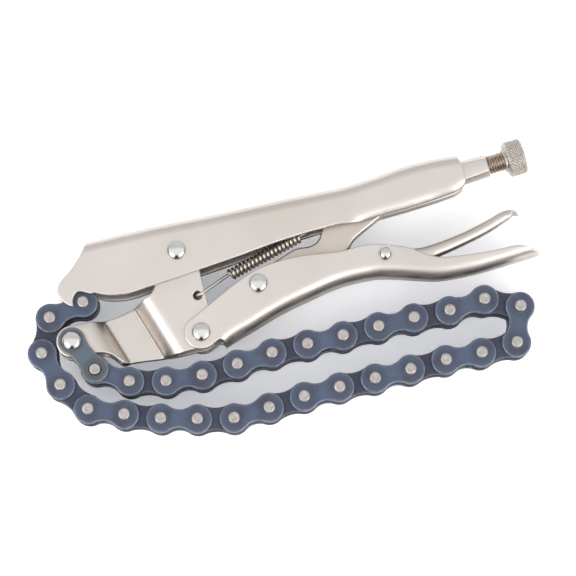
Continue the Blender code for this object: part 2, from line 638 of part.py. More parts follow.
def add_spring():
    points = spring_points()
    curve = bpy.data.curves.new("return_spring", "CURVE")
    curve.dimensions = "3D"
    curve.bevel_depth = SPRING_WIRE / 2
    curve.bevel_resolution = 1
    curve.use_fill_caps = True
    spline = curve.splines.new("POLY")
    spline.points.add(len(points) - 1)
    for target, point in zip(spline.points, points):
        target.co = (*point, 1)
    print("least gap between the spring's turns, mm:", round(least_spring_gap(points) * 1000, 2))
    place_piece("return_spring", mesh_of_curve(curve), (0, 0), SPRING_STEEL)


def chain_pins():
    """Pin centres from the main pivot, each a pitch along the link's heading."""
    pins = [CHAIN_START]
    for heading in CHAIN_HEADINGS:
        turn = math.radians(heading)
        x, y = pins[-1]
        pins.append((x + CHAIN_PITCH * math.cos(turn), y + CHAIN_PITCH * math.sin(turn)))
    return pins


def link_outline(end_radius, waist):
    """Link plate: two round ends a pitch apart with a narrower waist."""
    points = arc((0, 0), end_radius, LINK_END_TURN, math.tau - LINK_END_TURN, LINK_END_POINTS)
    points.append((CHAIN_PITCH / 2, -waist))
    points += arc((CHAIN_PITCH, 0), end_radius, LINK_END_TURN - math.pi,
                  math.pi - LINK_END_TURN, LINK_END_POINTS)
    points.append((CHAIN_PITCH / 2, waist))
    return points


def plate_pair(name, end_radius, waist, outer_face):
    """Two like plates, one on each side of the middle."""
    plate = outline_mesh(name, link_outline(end_radius, waist), LINK_SHEET / 2)
    middle = outer_face - LINK_SHEET / 2
    return joined(name, [(plate, Matrix.Translation((0, 0, middle))),
                         (plate, Matrix.Translation((0, 0, -middle)))])


def rod_pair(name, radius, half_length, sides):
    """Two like rods a pitch apart."""
    rod = rod_mesh(name, radius, -half_length, half_length, sides)
    return joined(name, [(rod, Matrix.Identity(4)),
                         (rod, Matrix.Translation((CHAIN_PITCH, 0, 0)))])


def finished(item):
    """Mesh of the piece with its modifiers applied."""
    bpy.context.view_layer.update()
    graph = bpy.context.evaluated_depsgraph_get()
    return bpy.data.meshes.new_from_object(item.evaluated_get(graph))


def outer_link_mesh():
    """Pressed pair: two plates with both extended pins fast in them."""
    plates = plate_pair("outer_link", OUTER_END_RADIUS, OUTER_WAIST, OUTER_PLATE_FACE)
    item = new_object("outer_link", plates, CUTTERS)
    combine(item, rod_pair("pins", PIN_RADIUS, PIN_HALF_LENGTH, PIN_SIDES), "UNION")
    mesh = finished(item)
    bpy.data.objects.remove(item, do_unlink=True)
    return mesh


def inner_link_mesh():
    """Two plates with both bushes and rollers, bored for the neighbours' pins."""
    face = ROLLER_HALF_LENGTH + LINK_SHEET
    plates = plate_pair("inner_link", INNER_END_RADIUS, INNER_WAIST, face)
    item = new_object("inner_link", plates, CUTTERS)
    seat = ROLLER_HALF_LENGTH + LINK_SHEET / 2
    combine(item, rod_pair("rollers", ROLLER_RADIUS, seat, ROLLER_SIDES), "UNION")
    bore = bore_radius(PIN_RADIUS, PIN_SIDES)
    combine(item, rod_pair("bores", bore, face + CUT_OVERRUN, PIN_SIDES), "DIFFERENCE")
    mesh = finished(item)
    bpy.data.objects.remove(item, do_unlink=True)
    return mesh


def add_anchor_plates(centre, turn):
    """Two flat plates outside the first link, on the anchor rivet and the first pin."""
    plate = outline_mesh("anchor_plate", link_outline(ANCHOR_END_RADIUS, ANCHOR_WAIST),
                         LINK_SHEET / 2)
    middle = ANCHOR_PLATE_FACE - LINK_SHEET / 2
    for name, height in (("anchor_plate_top", middle), ("anchor_plate_bottom", -middle)):
        mesh = plate.copy()
        mesh.transform(Matrix.Translation((0, 0, height)))
        item = place_piece(name, mesh, centre, BLUED, turn)
        reach = ANCHOR_PLATE_FACE + CUT_OVERRUN
        drill(item, (0, 0), RIVET_SHAFT_RADIUS, reach)
        drill(item, (CHAIN_PITCH, 0), PIN_RADIUS, reach, PIN_SIDES)


def add_chain():
    outer = outer_link_mesh()
    inner = inner_link_mesh()
    pins = chain_pins()
    for index, heading in enumerate(CHAIN_HEADINGS):
        turn = math.radians(heading)
        if index == 0:
            add_anchor_plates(pins[0], turn)
            continue
        is_outer = index % 2 == 1
        mesh = (outer if is_outer else inner).copy()
        name = "chain_link_%02d" % index
        place_piece(name, mesh, pins[index], BLUED if is_outer else DARK_STEEL, turn)
    print("pins:", [(round((x + TOOL_X) * 1000, 2), round((y + TOOL_Y) * 1000, 2))
                    for x, y in pins])


clear_scene()
PARTS = make_collection("chain_clamp")
CUTTERS = make_collection("chain_clamp_cutters")
add_fixed_handle()
add_screw()
add_lower_jaw()
add_lower_handle()
add_toggle_link()
add_release_lever()
add_rivets()
add_spring()
add_chain()
for piece in PARTS.objects:
    weld(piece)
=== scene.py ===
from functools import partial
import json
from math import acos, atan2, ceil, copysign, cos, degrees, dist, pi, radians, sin, sqrt, tan, tau
from types import SimpleNamespace

import bmesh
import bpy
from mathutils import Matrix, Vector
from mathutils.geometry import delaunay_2d_cdt
from mathutils.kdtree import KDTree


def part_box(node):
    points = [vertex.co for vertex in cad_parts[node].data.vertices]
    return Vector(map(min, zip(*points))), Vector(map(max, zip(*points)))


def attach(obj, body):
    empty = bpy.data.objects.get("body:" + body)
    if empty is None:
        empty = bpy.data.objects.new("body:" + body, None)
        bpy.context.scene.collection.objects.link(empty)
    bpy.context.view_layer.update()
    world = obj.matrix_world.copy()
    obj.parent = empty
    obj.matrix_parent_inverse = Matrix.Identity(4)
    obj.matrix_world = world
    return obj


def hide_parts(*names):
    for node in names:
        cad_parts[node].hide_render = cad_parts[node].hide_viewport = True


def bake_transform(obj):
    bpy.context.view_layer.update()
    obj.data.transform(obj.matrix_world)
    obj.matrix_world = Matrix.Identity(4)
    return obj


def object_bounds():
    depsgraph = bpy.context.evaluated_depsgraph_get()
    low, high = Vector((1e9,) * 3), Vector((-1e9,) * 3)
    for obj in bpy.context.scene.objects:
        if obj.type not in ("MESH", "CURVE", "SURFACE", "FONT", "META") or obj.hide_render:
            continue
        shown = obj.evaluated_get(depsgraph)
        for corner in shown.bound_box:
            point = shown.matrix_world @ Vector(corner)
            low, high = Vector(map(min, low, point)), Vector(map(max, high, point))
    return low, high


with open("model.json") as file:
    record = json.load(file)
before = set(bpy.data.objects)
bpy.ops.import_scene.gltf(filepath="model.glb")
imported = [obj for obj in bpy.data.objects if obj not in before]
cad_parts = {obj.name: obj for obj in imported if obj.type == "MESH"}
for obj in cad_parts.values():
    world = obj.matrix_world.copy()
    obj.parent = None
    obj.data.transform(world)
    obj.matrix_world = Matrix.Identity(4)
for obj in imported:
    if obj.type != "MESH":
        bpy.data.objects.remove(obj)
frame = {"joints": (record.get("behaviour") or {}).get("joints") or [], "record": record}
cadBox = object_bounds()
joints = {joint["name"]: joint for joint in frame["joints"]}
pivot = Vector(joints["jaw_open"]["pos_m"])
mm = 0.001
still = Matrix.Identity(4)
upright = Vector((0, 0, 1))


def fromPivot(jointName):
    # a joint's place in millimetres from the main pivot
    return (Vector(joints[jointName]["pos_m"]) - pivot) / mm


def heightOf(node):
    # highest point of a node above the tool's middle, in millimetres
    return (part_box(node)[1][2] - pivot.z) / mm


# lines, rings and sheets

def smoothLine(points, step=1.0):
    # runs softly through the points, with about one point per step
    marks = [0.0]
    for first, second in zip(points, points[1:]):
        marks.append(marks[-1] + dist(first, second))
    last = len(points) - 1
    slopes = []
    for index in range(last + 1):
        low, high = max(index - 1, 0), min(index + 1, last)
        slopes.append([(b - a) / (marks[high] - marks[low])
                       for a, b in zip(points[low], points[high])])
    line = []
    for index in range(last):
        span = marks[index + 1] - marks[index]
        count = max(1, round(span / step))
        for part in range(count):
            t = part / count
            a = (1 + 2 * t) * (1 - t) ** 2
            b = t * (1 - t) ** 2 * span
            c = t * t * (3 - 2 * t)
            d = t * t * (t - 1) * span
            line.append(tuple(
                a * p + b * m + c * q + d * n for p, m, q, n in zip(
                    points[index], slopes[index], points[index + 1], slopes[index + 1])))
    line.append(tuple(points[-1]))
    return line


def heightAt(line, x):
    # height of a left to right line over x
    if x <= line[0][0]:
        return line[0][1]
    for (x0, y0), (x1, y1) in zip(line, line[1:]):
        if x <= x1:
            return y0 + (y1 - y0) * (x - x0) / (x1 - x0)
    return line[-1][1]


def easeAt(x, start, end):
    t = min(1.0, max(0.0, (x - start) / (end - start)))
    return t * t * (3 - 2 * t)


def arcLine(centre, radius, start, end, count):
    turns = [radians(start + (end - start) * i / (count - 1)) for i in range(count)]
    return [(centre[0] + radius * cos(t), centre[1] + radius * sin(t)) for t in turns]


def tidyLoop(points, least=0.12):
    # closed loop without points on top of each other, running anticlockwise
    loop = []
    for point in points:
        if not loop or dist(point, loop[-1]) > least:
            loop.append(point)
    while dist(loop[0], loop[-1]) < least:
        loop.pop()
    area = sum(a[0] * b[1] - b[0] * a[1] for a, b in zip(loop, loop[1:] + loop[:1]))
    return loop if area > 0 else loop[::-1]


def inwardSteps(loop):
    # for each point of an anticlockwise loop, the step that moves its edges in by one
    steps = []
    count = len(loop)
    for index, here in enumerate(loop):
        before, after = loop[index - 1], loop[(index + 1) % count]
        a = Vector((here[0] - before[0], here[1] - before[1])).normalized()
        b = Vector((after[0] - here[0], after[1] - here[1])).normalized()
        normal = Vector((-a.y - b.y, a.x + b.x))
        steps.append(normal / max(1 + a.dot(b), 0.5))
    return steps


def moved(loop, steps, distance):
    return [(p[0] + s[0] * distance, p[1] + s[1] * distance) for p, s in zip(loop, steps)]


def isInside(x, y, loop):
    inside = False
    x0, y0 = loop[-1]
    for x1, y1 in loop:
        if (y0 > y) != (y1 > y) and x < (x1 - x0) * (y - y0) / (y1 - y0) + x0:
            inside = not inside
        x0, y0 = x1, y1
    return inside


def spread(low, high, step):
    count = max(1, ceil((high - low) / step))
    return [low + (high - low) * i / count for i in range(count + 1)]


def finishedMesh(body, name, outward=True):
    if outward:
        bmesh.ops.recalc_face_normals(body, faces=body.faces)
    mesh = bpy.data.meshes.new(name)
    body.to_mesh(mesh)
    body.free()
    return mesh


# painted shade: a folded sheet's inner face is darkened to stand in for the shade inside the fold
foldShade = (0.5, 4.5)   # how far from its border a sheet's inner face starts and ends to darken


def sheetMesh(outline, holes, place, sheet, edge, rows=(), columns=(), extra=(), roundSteps=3,
              margin=0.5):
    # A sheet cut to an outline with holes (x, y, radius, edge), its rims rounded, and every
    # point put in space by place(u, v, depth).  Vertex values for the finishes: "rim" is 1 on
    # the rims, "flat" is (u, v, depth), "inside" is how deep in a fold the point lies.
    loop = tidyLoop(outline)
    steps = inwardSteps(loop)
    borderTree = KDTree(len(loop))
    for index, point in enumerate(loop):
        borderTree.insert((point[0], point[1], 0), index)
    borderTree.balance()
    quarter = [pi / 2 * k / roundSteps for k in range(roundSteps + 1)]
    rings = [([moved(loop, steps, edge * (1 - sin(a))) for a in quarter], edge)]
    guards = [moved(loop, steps, edge + margin)]
    sides = 28   # of a hole

    def circle(x, y, radius):
        return arcLine((x, y), radius, 0, -360, sides + 1)[:-1]

    for x, y, radius, holeEdge in holes:
        circles = [circle(x, y, radius + holeEdge * (1 - sin(a))) for a in quarter]
        rings.append((circles, holeEdge))
        guards.append(circle(x, y, radius + holeEdge + margin))
    flatPoints, flatEdges = [], []
    for ring, _ in rings:
        start = len(flatPoints)
        count = len(ring[0])
        flatPoints += ring[0]
        flatEdges += [(start + i, start + (i + 1) % count) for i in range(count)]
    inward = moved(loop, steps, edge + margin * 1.7)
    clear = [(x, y, radius + holeEdge + margin * 1.7) for x, y, radius, holeEdge in holes]

    def isFree(x, y, slack=0.0):
        return all(dist((x, y), (hx, hy)) > reach - slack for hx, hy, reach in clear)

    flatPoints += [(x, y) for x, y in guards[0] if isFree(x, y, margin * 0.7)]
    safe = moved(loop, steps, edge + margin * 0.4)
    for guard in guards[1:]:
        flatPoints += [(x, y) for x, y in guard if isInside(x, y, safe)]
    grid = [(x, y) for x in columns for y in rows]
    flatPoints += [(x, y) for x, y in grid + list(extra)
                   if isInside(x, y, inward) and isFree(x, y)]
    found, _, faces, origin, _, _ = delaunay_2d_cdt(
        [Vector(p) for p in flatPoints], flatEdges, [], 1, 1e-5)
    body = bmesh.new()
    rim = body.verts.layers.float.new("rim")
    inside = body.verts.layers.float.new("inside")
    flat = body.verts.layers.float_vector.new("flat")

    def newVert(x, y, depth, rimShare=0.0):
        vert = body.verts.new(place(x, y, depth))
        vert[rim] = rimShare
        toBorder = borderTree.find((x, y, 0))[2]
        # painted shade mask: grows on the inner face, away from the border
        vert[inside] = depth / sheet * easeAt(toBorder, *foldShade)
        vert[flat] = (x, y, depth)
        return vert

    tops = [newVert(p.x, p.y, 0.0) for p in found]
    bottoms = [newVert(p.x, p.y, sheet) for p in found]
    for a, b, c in faces:
        middle = (found[a] + found[b] + found[c]) / 3
        if any(dist(middle, (x, y)) < radius + holeEdge * 0.98
               for x, y, radius, holeEdge in holes):
            continue
        body.faces.new((tops[a], tops[b], tops[c]))
        body.faces.new((bottoms[c], bottoms[b], bottoms[a]))
    newIndex = {}
    for index, sources in enumerate(origin):
        for source in sources:
            newIndex[source] = index
    start = 0
    for ring, ringEdge in rings:
        count = len(ring[0])
        first = [tops[newIndex[start + i]] for i in range(count)]
        last = [bottoms[newIndex[start + i]] for i in range(count)]
        for vert in first + last:
            vert[rim] = 0.4
        loops = [first]
        drops = [(k, ringEdge * (1 - cos(quarter[k]))) for k in range(1, roundSteps + 1)]
        for k, depth in drops + [(k, sheet - depth) for k, depth in reversed(drops)]:
            loops.append([newVert(x, y, depth, 1.0) for x, y in ring[k]])
        loops.append(last)
        for upper, lower in zip(loops, loops[1:]):
            for i in range(count):
                j = (i + 1) % count
                body.faces.new((upper[i], lower[i], lower[j], upper[j]))
        start += count
    loose = [vert for vert in body.verts if not vert.link_faces]
    bmesh.ops.delete(body, geom=loose, context="VERTS")
    return finishedMesh(body, "sheet")


def flatPlace(top):
    return lambda u, v, depth: (u, v, top - depth)


def ringMesh(rings, name, closed=False, capped=False):
    # Joins rings of points one to the next.  A ring of one point is a tip, closed joins the
    # last ring to the first, and capped fills both ends.
    body = bmesh.new()
    loops = [[body.verts.new(point) for point in ring] for ring in rings]
    pairs = list(zip(loops, loops[1:])) + ([(loops[-1], loops[0])] if closed else [])
    for first, second in pairs:
        sides = max(len(first), len(second))
        for i in range(sides):
            j = (i + 1) % sides
            if len(first) == 1:
                corners = (first[0], second[i], second[j])
            elif len(second) == 1:
                corners = (first[i], second[0], first[j])
            else:
                corners = (first[i], second[i], second[j], first[j])
            body.faces.new(corners)
    if capped:
        body.faces.new(loops[0][::-1])
        body.faces.new(loops[-1])
    return finishedMesh(body, name)


def turnedMesh(profile, sides=40, closed=False, mirrored=False):
    # profile of (radius, height) points turned about Z, mirrored if only its upper half is given
    if mirrored:
        profile = profile + [(radius, -height) for radius, height in reversed(profile)]
    turns = [tau * i / sides for i in range(sides)]
    rings = [[(0, 0, height)] if radius < 1e-6 else
             [(radius * cos(turn), radius * sin(turn), height) for turn in turns]
             for radius, height in profile]
    return ringMesh(rings, "turned", closed)


def joinedMesh(parts):
    # one mesh of (mesh, matrix, material number) parts
    body = bmesh.new()
    for mesh, matrix, number in parts:
        piece = mesh.copy()
        piece.transform(matrix)
        before = len(body.faces)
        body.from_mesh(piece)
        body.faces.ensure_lookup_table()
        for face in body.faces[before:]:
            face.material_index = number
        bpy.data.meshes.remove(piece)
    return finishedMesh(body, "joined", outward=False)


def newObject(name, data):
    made = bpy.data.objects.new(name, data)
    bpy.context.scene.collection.objects.link(made)
    return made


def addPiece(name, mesh, finishes, body, nodes, matrix=still, sharp=40):
    # A mesh in millimetres from the main pivot becomes a piece that stands for its nodes.
    # Without a body, the piece is left unattached.
    mesh = mesh.copy()
    mesh.name = name
    mesh.transform(Matrix.Translation(pivot) @ Matrix.Scale(mm, 4) @ matrix)
    mesh.polygons.foreach_set("use_smooth", [True] * len(mesh.polygons))
    mesh.set_sharp_from_angle(angle=radians(sharp))
    piece = newObject(name, mesh)
    for finish in finishes:
        mesh.materials.append(finish)
    if body:
        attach(piece, body)
    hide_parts(*nodes)
    return piece


# finishes

def feed(tree, socket, value):
    # a link where the value comes from a node, else a plain number or colour
    if isinstance(value, bpy.types.NodeSocket):
        tree.links.new(value, socket)
    else:
        socket.default_value = (*value, 1) if isinstance(value, tuple) else value


def feedNode(tree, node, values):
    for name, value in values.items():
        feed(tree, node.inputs[name], value)


def nodeStep(tree, kind, output, values=None, **settings):
    # one output of a new shader node with these settings and input values
    node = tree.nodes.new("ShaderNode" + kind)
    for name, value in settings.items():
        setattr(node, name, value)
    feedNode(tree, node, values or {})
    return node.outputs[output]


def mathStep(tree, operation, first, second, kind="Math"):
    return nodeStep(tree, kind, "Value", {0: first, 1: second}, operation=operation)


def rangeStep(tree, value, low, high, toLow=0.0, toHigh=1.0, kind="LINEAR"):
    values = {"Value": value, "From Min": low, "From Max": high, "To Min": toLow, "To Max": toHigh}
    return nodeStep(tree, "MapRange", "Result", values, interpolation_type=kind)


def mixStep(tree, amount, first, second, kind="RGBA"):
    start, output = (6, 2) if kind == "RGBA" else (2, 0)   # the node's sockets of that kind
    return nodeStep(tree, "Mix", output, {"Factor": amount, start: first, start + 1: second},
                    data_type=kind)


def steelFinish(name, look):
    # Metal with uneven tone, fine grain and rubbed rims.  Scales are cycles per metre.
    finish = bpy.data.materials.new(name)
    finish.use_nodes = True
    tree = finish.node_tree
    made, ranged, mixed, combined = (
        partial(step, tree) for step in (nodeStep, rangeStep, mixStep, mathStep))
    place = made("TexCoord", "Object")

    def noise(scale, detail):
        return made("TexNoise", "Fac", {"Scale": scale, "Detail": detail, "Vector": place})

    def bump(height, kind, **under):
        return made("Bump", "Normal", {"Height": height, "Strength": look[kind + "Bump"],
                                       "Distance": look[kind + "Depth"] * mm, **under})

    cloud = noise(look["cloudScale"], 4)
    grain = noise(look["grainScale"], 3)
    colour = mixed(ranged(cloud, 0.35, 0.65), look["colour"], look["cloudColour"])
    if "spotColour" in look:
        spots = ranged(noise(look["spotScale"], 5), look["spotStart"], look["spotStart"] + 0.14,
                       0.0, look["spotShare"])
        colour = mixed(spots, colour, look["spotColour"])
    if "ringColour" in look:   # chain plates: darker round the pins, lighter at the waist
        flat = made("Attribute", "Vector", attribute_name="flat")
        ways = [combined("DISTANCE", flat, Vector((along, 0, 0)), "VectorMath")
                for along in (0, chain.pitch / 2, chain.pitch)]
        blur = ranged(cloud, 0.3, 0.7, -0.7, 0.7)
        nearPin = combined("ADD", combined("MINIMUM", ways[0], ways[2]), blur)
        colour = mixed(ranged(combined("ADD", ways[1], blur), 1.0, 4.6, look["waistShare"], 0.0),
                       colour, look["waistColour"])
        colour = mixed(ranged(nearPin, 3.2, 5.6, look["ringShare"], 0.0),
                       colour, look["ringColour"])
    # painted shade: the inner faces of folds and the feet of creases darken
    if "insideShadeColour" in look:
        inside = made("Attribute", "Fac", attribute_name="inside")
        colour = mixed(combined("MULTIPLY", inside, look["insideShadeShare"]), colour,
                       look["insideShadeColour"])
    breakUp = ranged(noise(look["cloudScale"] * 3, 4), 0.30, 0.60,
                     look["wearLow"], look["wearHigh"])
    rubbed = combined("MULTIPLY", made("Attribute", "Fac", attribute_name="rim"), breakUp)
    roughness, spreading = look["roughness"], look["roughSpread"]
    feedNode(tree, tree.nodes["Principled BSDF"], {
        "Metallic": look["metallic"], "Base Color": mixed(rubbed, colour, look["wearColour"]),
        "Roughness": ranged(grain, 0.3, 0.7, roughness - spreading, roughness + spreading),
        "Normal": bump(cloud, "wave", Normal=bump(grain, "grain"))})
    return finish


# The tool's sizes are in millimetres, its places too, from the main pivot, and angles in degrees.
chain = SimpleNamespace(
    pitch=15.875, sheet=2.0, pinRadius=2.55, pinHalf=12.25, rollerRadius=5.08,
    rollerHalf=4.75, bushRadius=3.6, bore=2.85, outerFace=9.05, innerFace=6.75,
    anchorFace=11.35, outerEnd=6.4, outerWaist=4.0, innerEnd=6.5,
    innerWaist=4.8, anchorEnd=6.0, anchorWaist=4.5, edge=0.5)
steelLook = {"wearLow": 0.0, "wearHigh": 0.5, "metallic": 1.0, "roughSpread": 0.06,
             "cloudScale": 300, "grainScale": 3000, "grainBump": 0.3, "grainDepth": 0.04,
             "waveBump": 0.1, "waveDepth": 0.1}
plateLook = steelLook | {
    "metallic": 0.7, "roughSpread": 0.07, "cloudScale": 160, "grainScale": 2600,
    "grainBump": 0.4, "grainDepth": 0.05, "waveBump": 0.25, "waveDepth": 0.25}
nickelLook = steelLook | {
    "colour": (0.745, 0.685, 0.655), "cloudColour": (0.70, 0.645, 0.60),
    "wearColour": (0.80, 0.77, 0.73), "wearLow": 0.2, "wearHigh": 0.8,
    # painted shade colour for the inner faces of folds
    "insideShadeColour": (0.26, 0.215, 0.185), "insideShadeShare": 0.9,
    "roughness": 0.35, "cloudScale": 30, "grainScale": 2400, "grainBump": 0.8, "grainDepth": 0.09,
    "waveBump": 0.15, "waveDepth": 0.25}
satinNickel = steelFinish("satinNickel", nickelLook)
toggleNickel = steelFinish("toggleNickel", nickelLook | {
    "colour": (0.70, 0.635, 0.575), "cloudColour": (0.62, 0.555, 0.50), "roughness": 0.40})
brightRivet = steelFinish("brightRivet", steelLook | {
    "colour": (0.82, 0.81, 0.79), "cloudColour": (0.74, 0.73, 0.71),
    "wearColour": (0.85, 0.85, 0.85), "roughness": 0.10, "roughSpread": 0.04,
    "grainBump": 0.1, "grainDepth": 0.03, "waveBump": 0.15, "waveDepth": 0.15})
bluedSteel = steelFinish("bluedSteel", plateLook | {
    "colour": (0.094, 0.120, 0.185), "cloudColour": (0.090, 0.108, 0.155),
    "ringColour": (0.066, 0.076, 0.112), "ringShare": 0.3,
    "waistColour": (0.115, 0.160, 0.245), "waistShare": 0.3,
    "wearColour": (0.25, 0.28, 0.33), "wearLow": 0.3, "wearHigh": 1.0,
    "spotColour": (0.075, 0.066, 0.095), "spotScale": 90, "spotStart": 0.50, "spotShare": 0.6,
    "roughness": 0.40})
anchorSteel = steelFinish("anchorSteel", plateLook | {
    "colour": (0.120, 0.155, 0.190), "cloudColour": (0.145, 0.155, 0.168),
    "ringColour": (0.060, 0.075, 0.095), "ringShare": 0.7,
    "waistColour": (0.10, 0.17, 0.24), "waistShare": 0.5,
    "wearColour": (0.30, 0.29, 0.27), "wearHigh": 0.9,
    "spotColour": (0.16, 0.14, 0.12), "spotScale": 160, "spotStart": 0.52, "spotShare": 0.7,
    "metallic": 0.75, "roughness": 0.38})
darkSteel = steelFinish("darkSteel", plateLook | {
    "colour": (0.066, 0.062, 0.088), "cloudColour": (0.060, 0.068, 0.105),
    "wearColour": (0.16, 0.16, 0.19), "wearLow": 0.1, "wearHigh": 0.8,
    "spotColour": (0.080, 0.100, 0.145), "spotScale": 60, "spotStart": 0.50, "spotShare": 0.8,
    "roughness": 0.43})
pinSteel = steelFinish("pinSteel", steelLook | {
    "colour": (0.56, 0.53, 0.51), "cloudColour": (0.42, 0.39, 0.38),
    "wearColour": (0.62, 0.60, 0.58), "wearLow": 0.2, "wearHigh": 0.9,
    "metallic": 0.95, "roughness": 0.42, "roughSpread": 0.08,
    "cloudScale": 700, "grainScale": 3500, "grainBump": 0.6, "grainDepth": 0.06,
    "waveBump": 0.4, "waveDepth": 0.15})
springSteel = steelFinish("springSteel", steelLook | {
    "colour": (0.78, 0.72, 0.65), "cloudColour": (0.68, 0.62, 0.55),
    "wearColour": (0.4, 0.38, 0.35), "roughness": 0.38,
    "cloudScale": 400, "grainBump": 0.2, "grainDepth": 0.03})
screwSteel = steelFinish("screwSteel", steelLook | {
    "colour": (0.52, 0.44, 0.37), "cloudColour": (0.40, 0.33, 0.27),
    "wearColour": (0.70, 0.62, 0.54), "wearLow": 0.1, "wearHigh": 0.7,
    "spotColour": (0.22, 0.16, 0.12), "spotScale": 500, "spotStart": 0.56, "spotShare": 0.7,
    "roughness": 0.33, "roughSpread": 0.08})
knobNickel = steelFinish("knobNickel", steelLook | {
    "colour": (0.70, 0.655, 0.615), "cloudColour": (0.62, 0.575, 0.53),
    "wearColour": (0.80, 0.77, 0.73), "wearLow": 0.1, "wearHigh": 0.7,
    # painted shade colour for the inner faces of folds
    "insideShadeColour": (0.20, 0.165, 0.14), "insideShadeShare": 0.85,
    "roughness": 0.30})
print("finishes made")


rivets = SimpleNamespace(
    head=4.1, height=1.8, brim=0.35, shaft=3.0, bore=3.3, leverHead=2.8, leverShaft=1.9,
    leverBore=2.2, domeTurn=80, domeSteps=9)

# fixed handle: a folded channel, open below

fixedHandle = SimpleNamespace(
    sheet=2.4, frontHalfWidth=12.2, rearHalfWidth=8.7, taperStart=18.4,
    taperEnd=84.6, bend=5.0, edge=0.45,
    notch=[(-4.3, -1.2), (-4.2, 1.0), (-3.5, 2.7), (-2.4, 4.1), (-1.0, 4.7), (0.6, 4.4),
           (2.2, 3.5), (4.2, 2.3)],   # from the trapped pin's middle
    rollStart=76.0, rollFull=83.0, rollHeight=4.9, rollRadius=6.4,
    flare=0.7, flareStart=114.0, flareEnd=127.0,
    top=[(-62.6, 16.7), (-37.2, 15.1), (-7.5, 13.4), (22.8, 10.8), (50.0, 9.1), (67.2, 7.9),
         (78.0, 7.1), (92.4, 7.5), (105.2, 8.3), (117.9, 7.9), (126.0, 6.9), (132.5, 6.0)],
    front=[(-37.2, 15.1), (-39.0, 12.2), (-41.8, 8.9), (-46.6, 4.8), (-52.3, 1.0), (-54.3, -1.5),
           (-54.8, -3.7), (-54.3, -6.0), (-52.6, -8.8), (-51.0, -10.3)],
    lower=[(-39.2, -7.8), (-34.6, -10.2), (-29.4, -11.6), (-24.7, -12.3), (-14.9, -11.9),
           (21.7, -10.3), (45.3, -8.6), (70.0, -8.4), (77.0, -9.6), (82.5, -10.7), (88.0, -10.6),
           (107.6, -10.7), (124.6, -9.9), (128.4, -8.7)],
    rear=[(128.4, -8.7), (129.9, -5.6), (130.2, -1.0), (130.0, 3.0), (129.6, 6.3)])


def foldedPlace(webLine, halfWidth, bend, side, roll=None):
    # Where a point of the unrolled channel lies: u along the tool, v across from the web's
    # middle.  roll(u) gives the height at which the cheek starts to curl in, and its curl.
    def place(u, v, depth):
        web, half = heightAt(webLine, u), halfWidth(u)
        flat = half - bend
        far = abs(v)
        if far <= flat:
            y, z, outY, outZ = web, far, side, 0.0
        elif far <= flat + bend * pi / 2:
            turn = (far - flat) / bend
            y = web - side * bend * (1 - cos(turn))
            z = flat + bend * sin(turn)
            outY, outZ = side * cos(turn), sin(turn)
        else:
            drop = far - flat - bend * pi / 2 + bend
            z, outY, outZ = half, 0.0, 1.0
            if roll:
                start, curl = roll(u)
                past = drop - side * (web - start)
                if past > 0 and curl > 1e-4:
                    turn = curl * past
                    drop += sin(turn) / curl - past
                    z -= (1 - cos(turn)) / curl
                    outY, outZ = -side * sin(turn), cos(turn)
            y = web - side * drop
        return (u, y - depth * outY, copysign(z - depth * outZ, v))
    return place


def unrolled(x, y, webLine, halfWidth, bend, side):
    # distance from the web's middle at which the channel passes through (x, y)
    drop = side * (heightAt(webLine, x) - y)
    flat = halfWidth(x) - bend
    if drop <= 0:
        return flat
    if drop < bend:
        return flat + bend * acos(1 - drop / bend)
    return flat + bend * pi / 2 + drop - bend


def channelPiece(settings, webLine, halfWidth, side, halfOutline, holes, spacing=2.4, roll=None,
                 tongue=()):
    # halfOutline runs from one end of the web round the near cheek to its other end
    bend = settings.bend
    near = [(x, -v) for x, v in tongue]
    near += [(x, -unrolled(x, y, webLine, halfWidth, bend, side)) for x, y in halfOutline]
    far = [(x, -v) for x, v in reversed(near)]
    outline = near + far
    bores = []
    for x, y, radius in holes:   # each one goes through both cheeks
        away = unrolled(x, y, webLine, halfWidth, bend, side)
        bores += [(x, away, radius, 0.25), (x, -away, radius, 0.25)]
    place = foldedPlace(webLine, halfWidth, bend, side, roll)
    reach = max(v for _, v in far)
    wide = max(halfWidth(x) for x, _ in near)
    narrow = min(halfWidth(x) for x, _ in near)
    bendRows = spread(narrow - bend - 0.8, wide - bend + bend * pi / 2 + 0.8, 0.85)
    rowStep = spacing if roll is None else 0.9
    outerRows = spread(bendRows[-1] + rowStep, max(reach, bendRows[-1] + 2 * rowStep), rowStep)
    rows = bendRows + outerRows
    rows = [-v for v in reversed(rows)] + [0.0] + rows
    columns = spread(min(x for x, _ in near), max(x for x, _ in near), spacing)
    return sheetMesh(outline, bores, place, settings.sheet, settings.edge, rows, columns)


def taperedHalf(handle, x):
    share = easeAt(x, handle.taperStart, handle.taperEnd)
    return handle.frontHalfWidth + (handle.rearHalfWidth - handle.frontHalfWidth) * share


def fixedHalfWidth(x):
    flare = easeAt(x, fixedHandle.flareStart, fixedHandle.flareEnd)
    return taperedHalf(fixedHandle, x) + fixedHandle.flare * flare


linkNames = ["chain_link_%02d" % number for number in range(1, 30)]
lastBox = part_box("chain_link_29")
lastStart = fromPivot("chain_link_29_hinge")
hookPin = (Vector(lastBox[0]) + Vector(lastBox[1]) - 2 * pivot) / mm - lastStart   # far pin
fixedTop = smoothLine(fixedHandle.top, 1.5)
notch = [(hookPin.x + x, hookPin.y + y) for x, y in smoothLine(fixedHandle.notch, 0.6)]
fixedLower = smoothLine(fixedHandle.lower, 1.6)
fixedOutline = (smoothLine(fixedHandle.front, 1.2) + notch + fixedLower
                + smoothLine(fixedHandle.rear, 1.2))


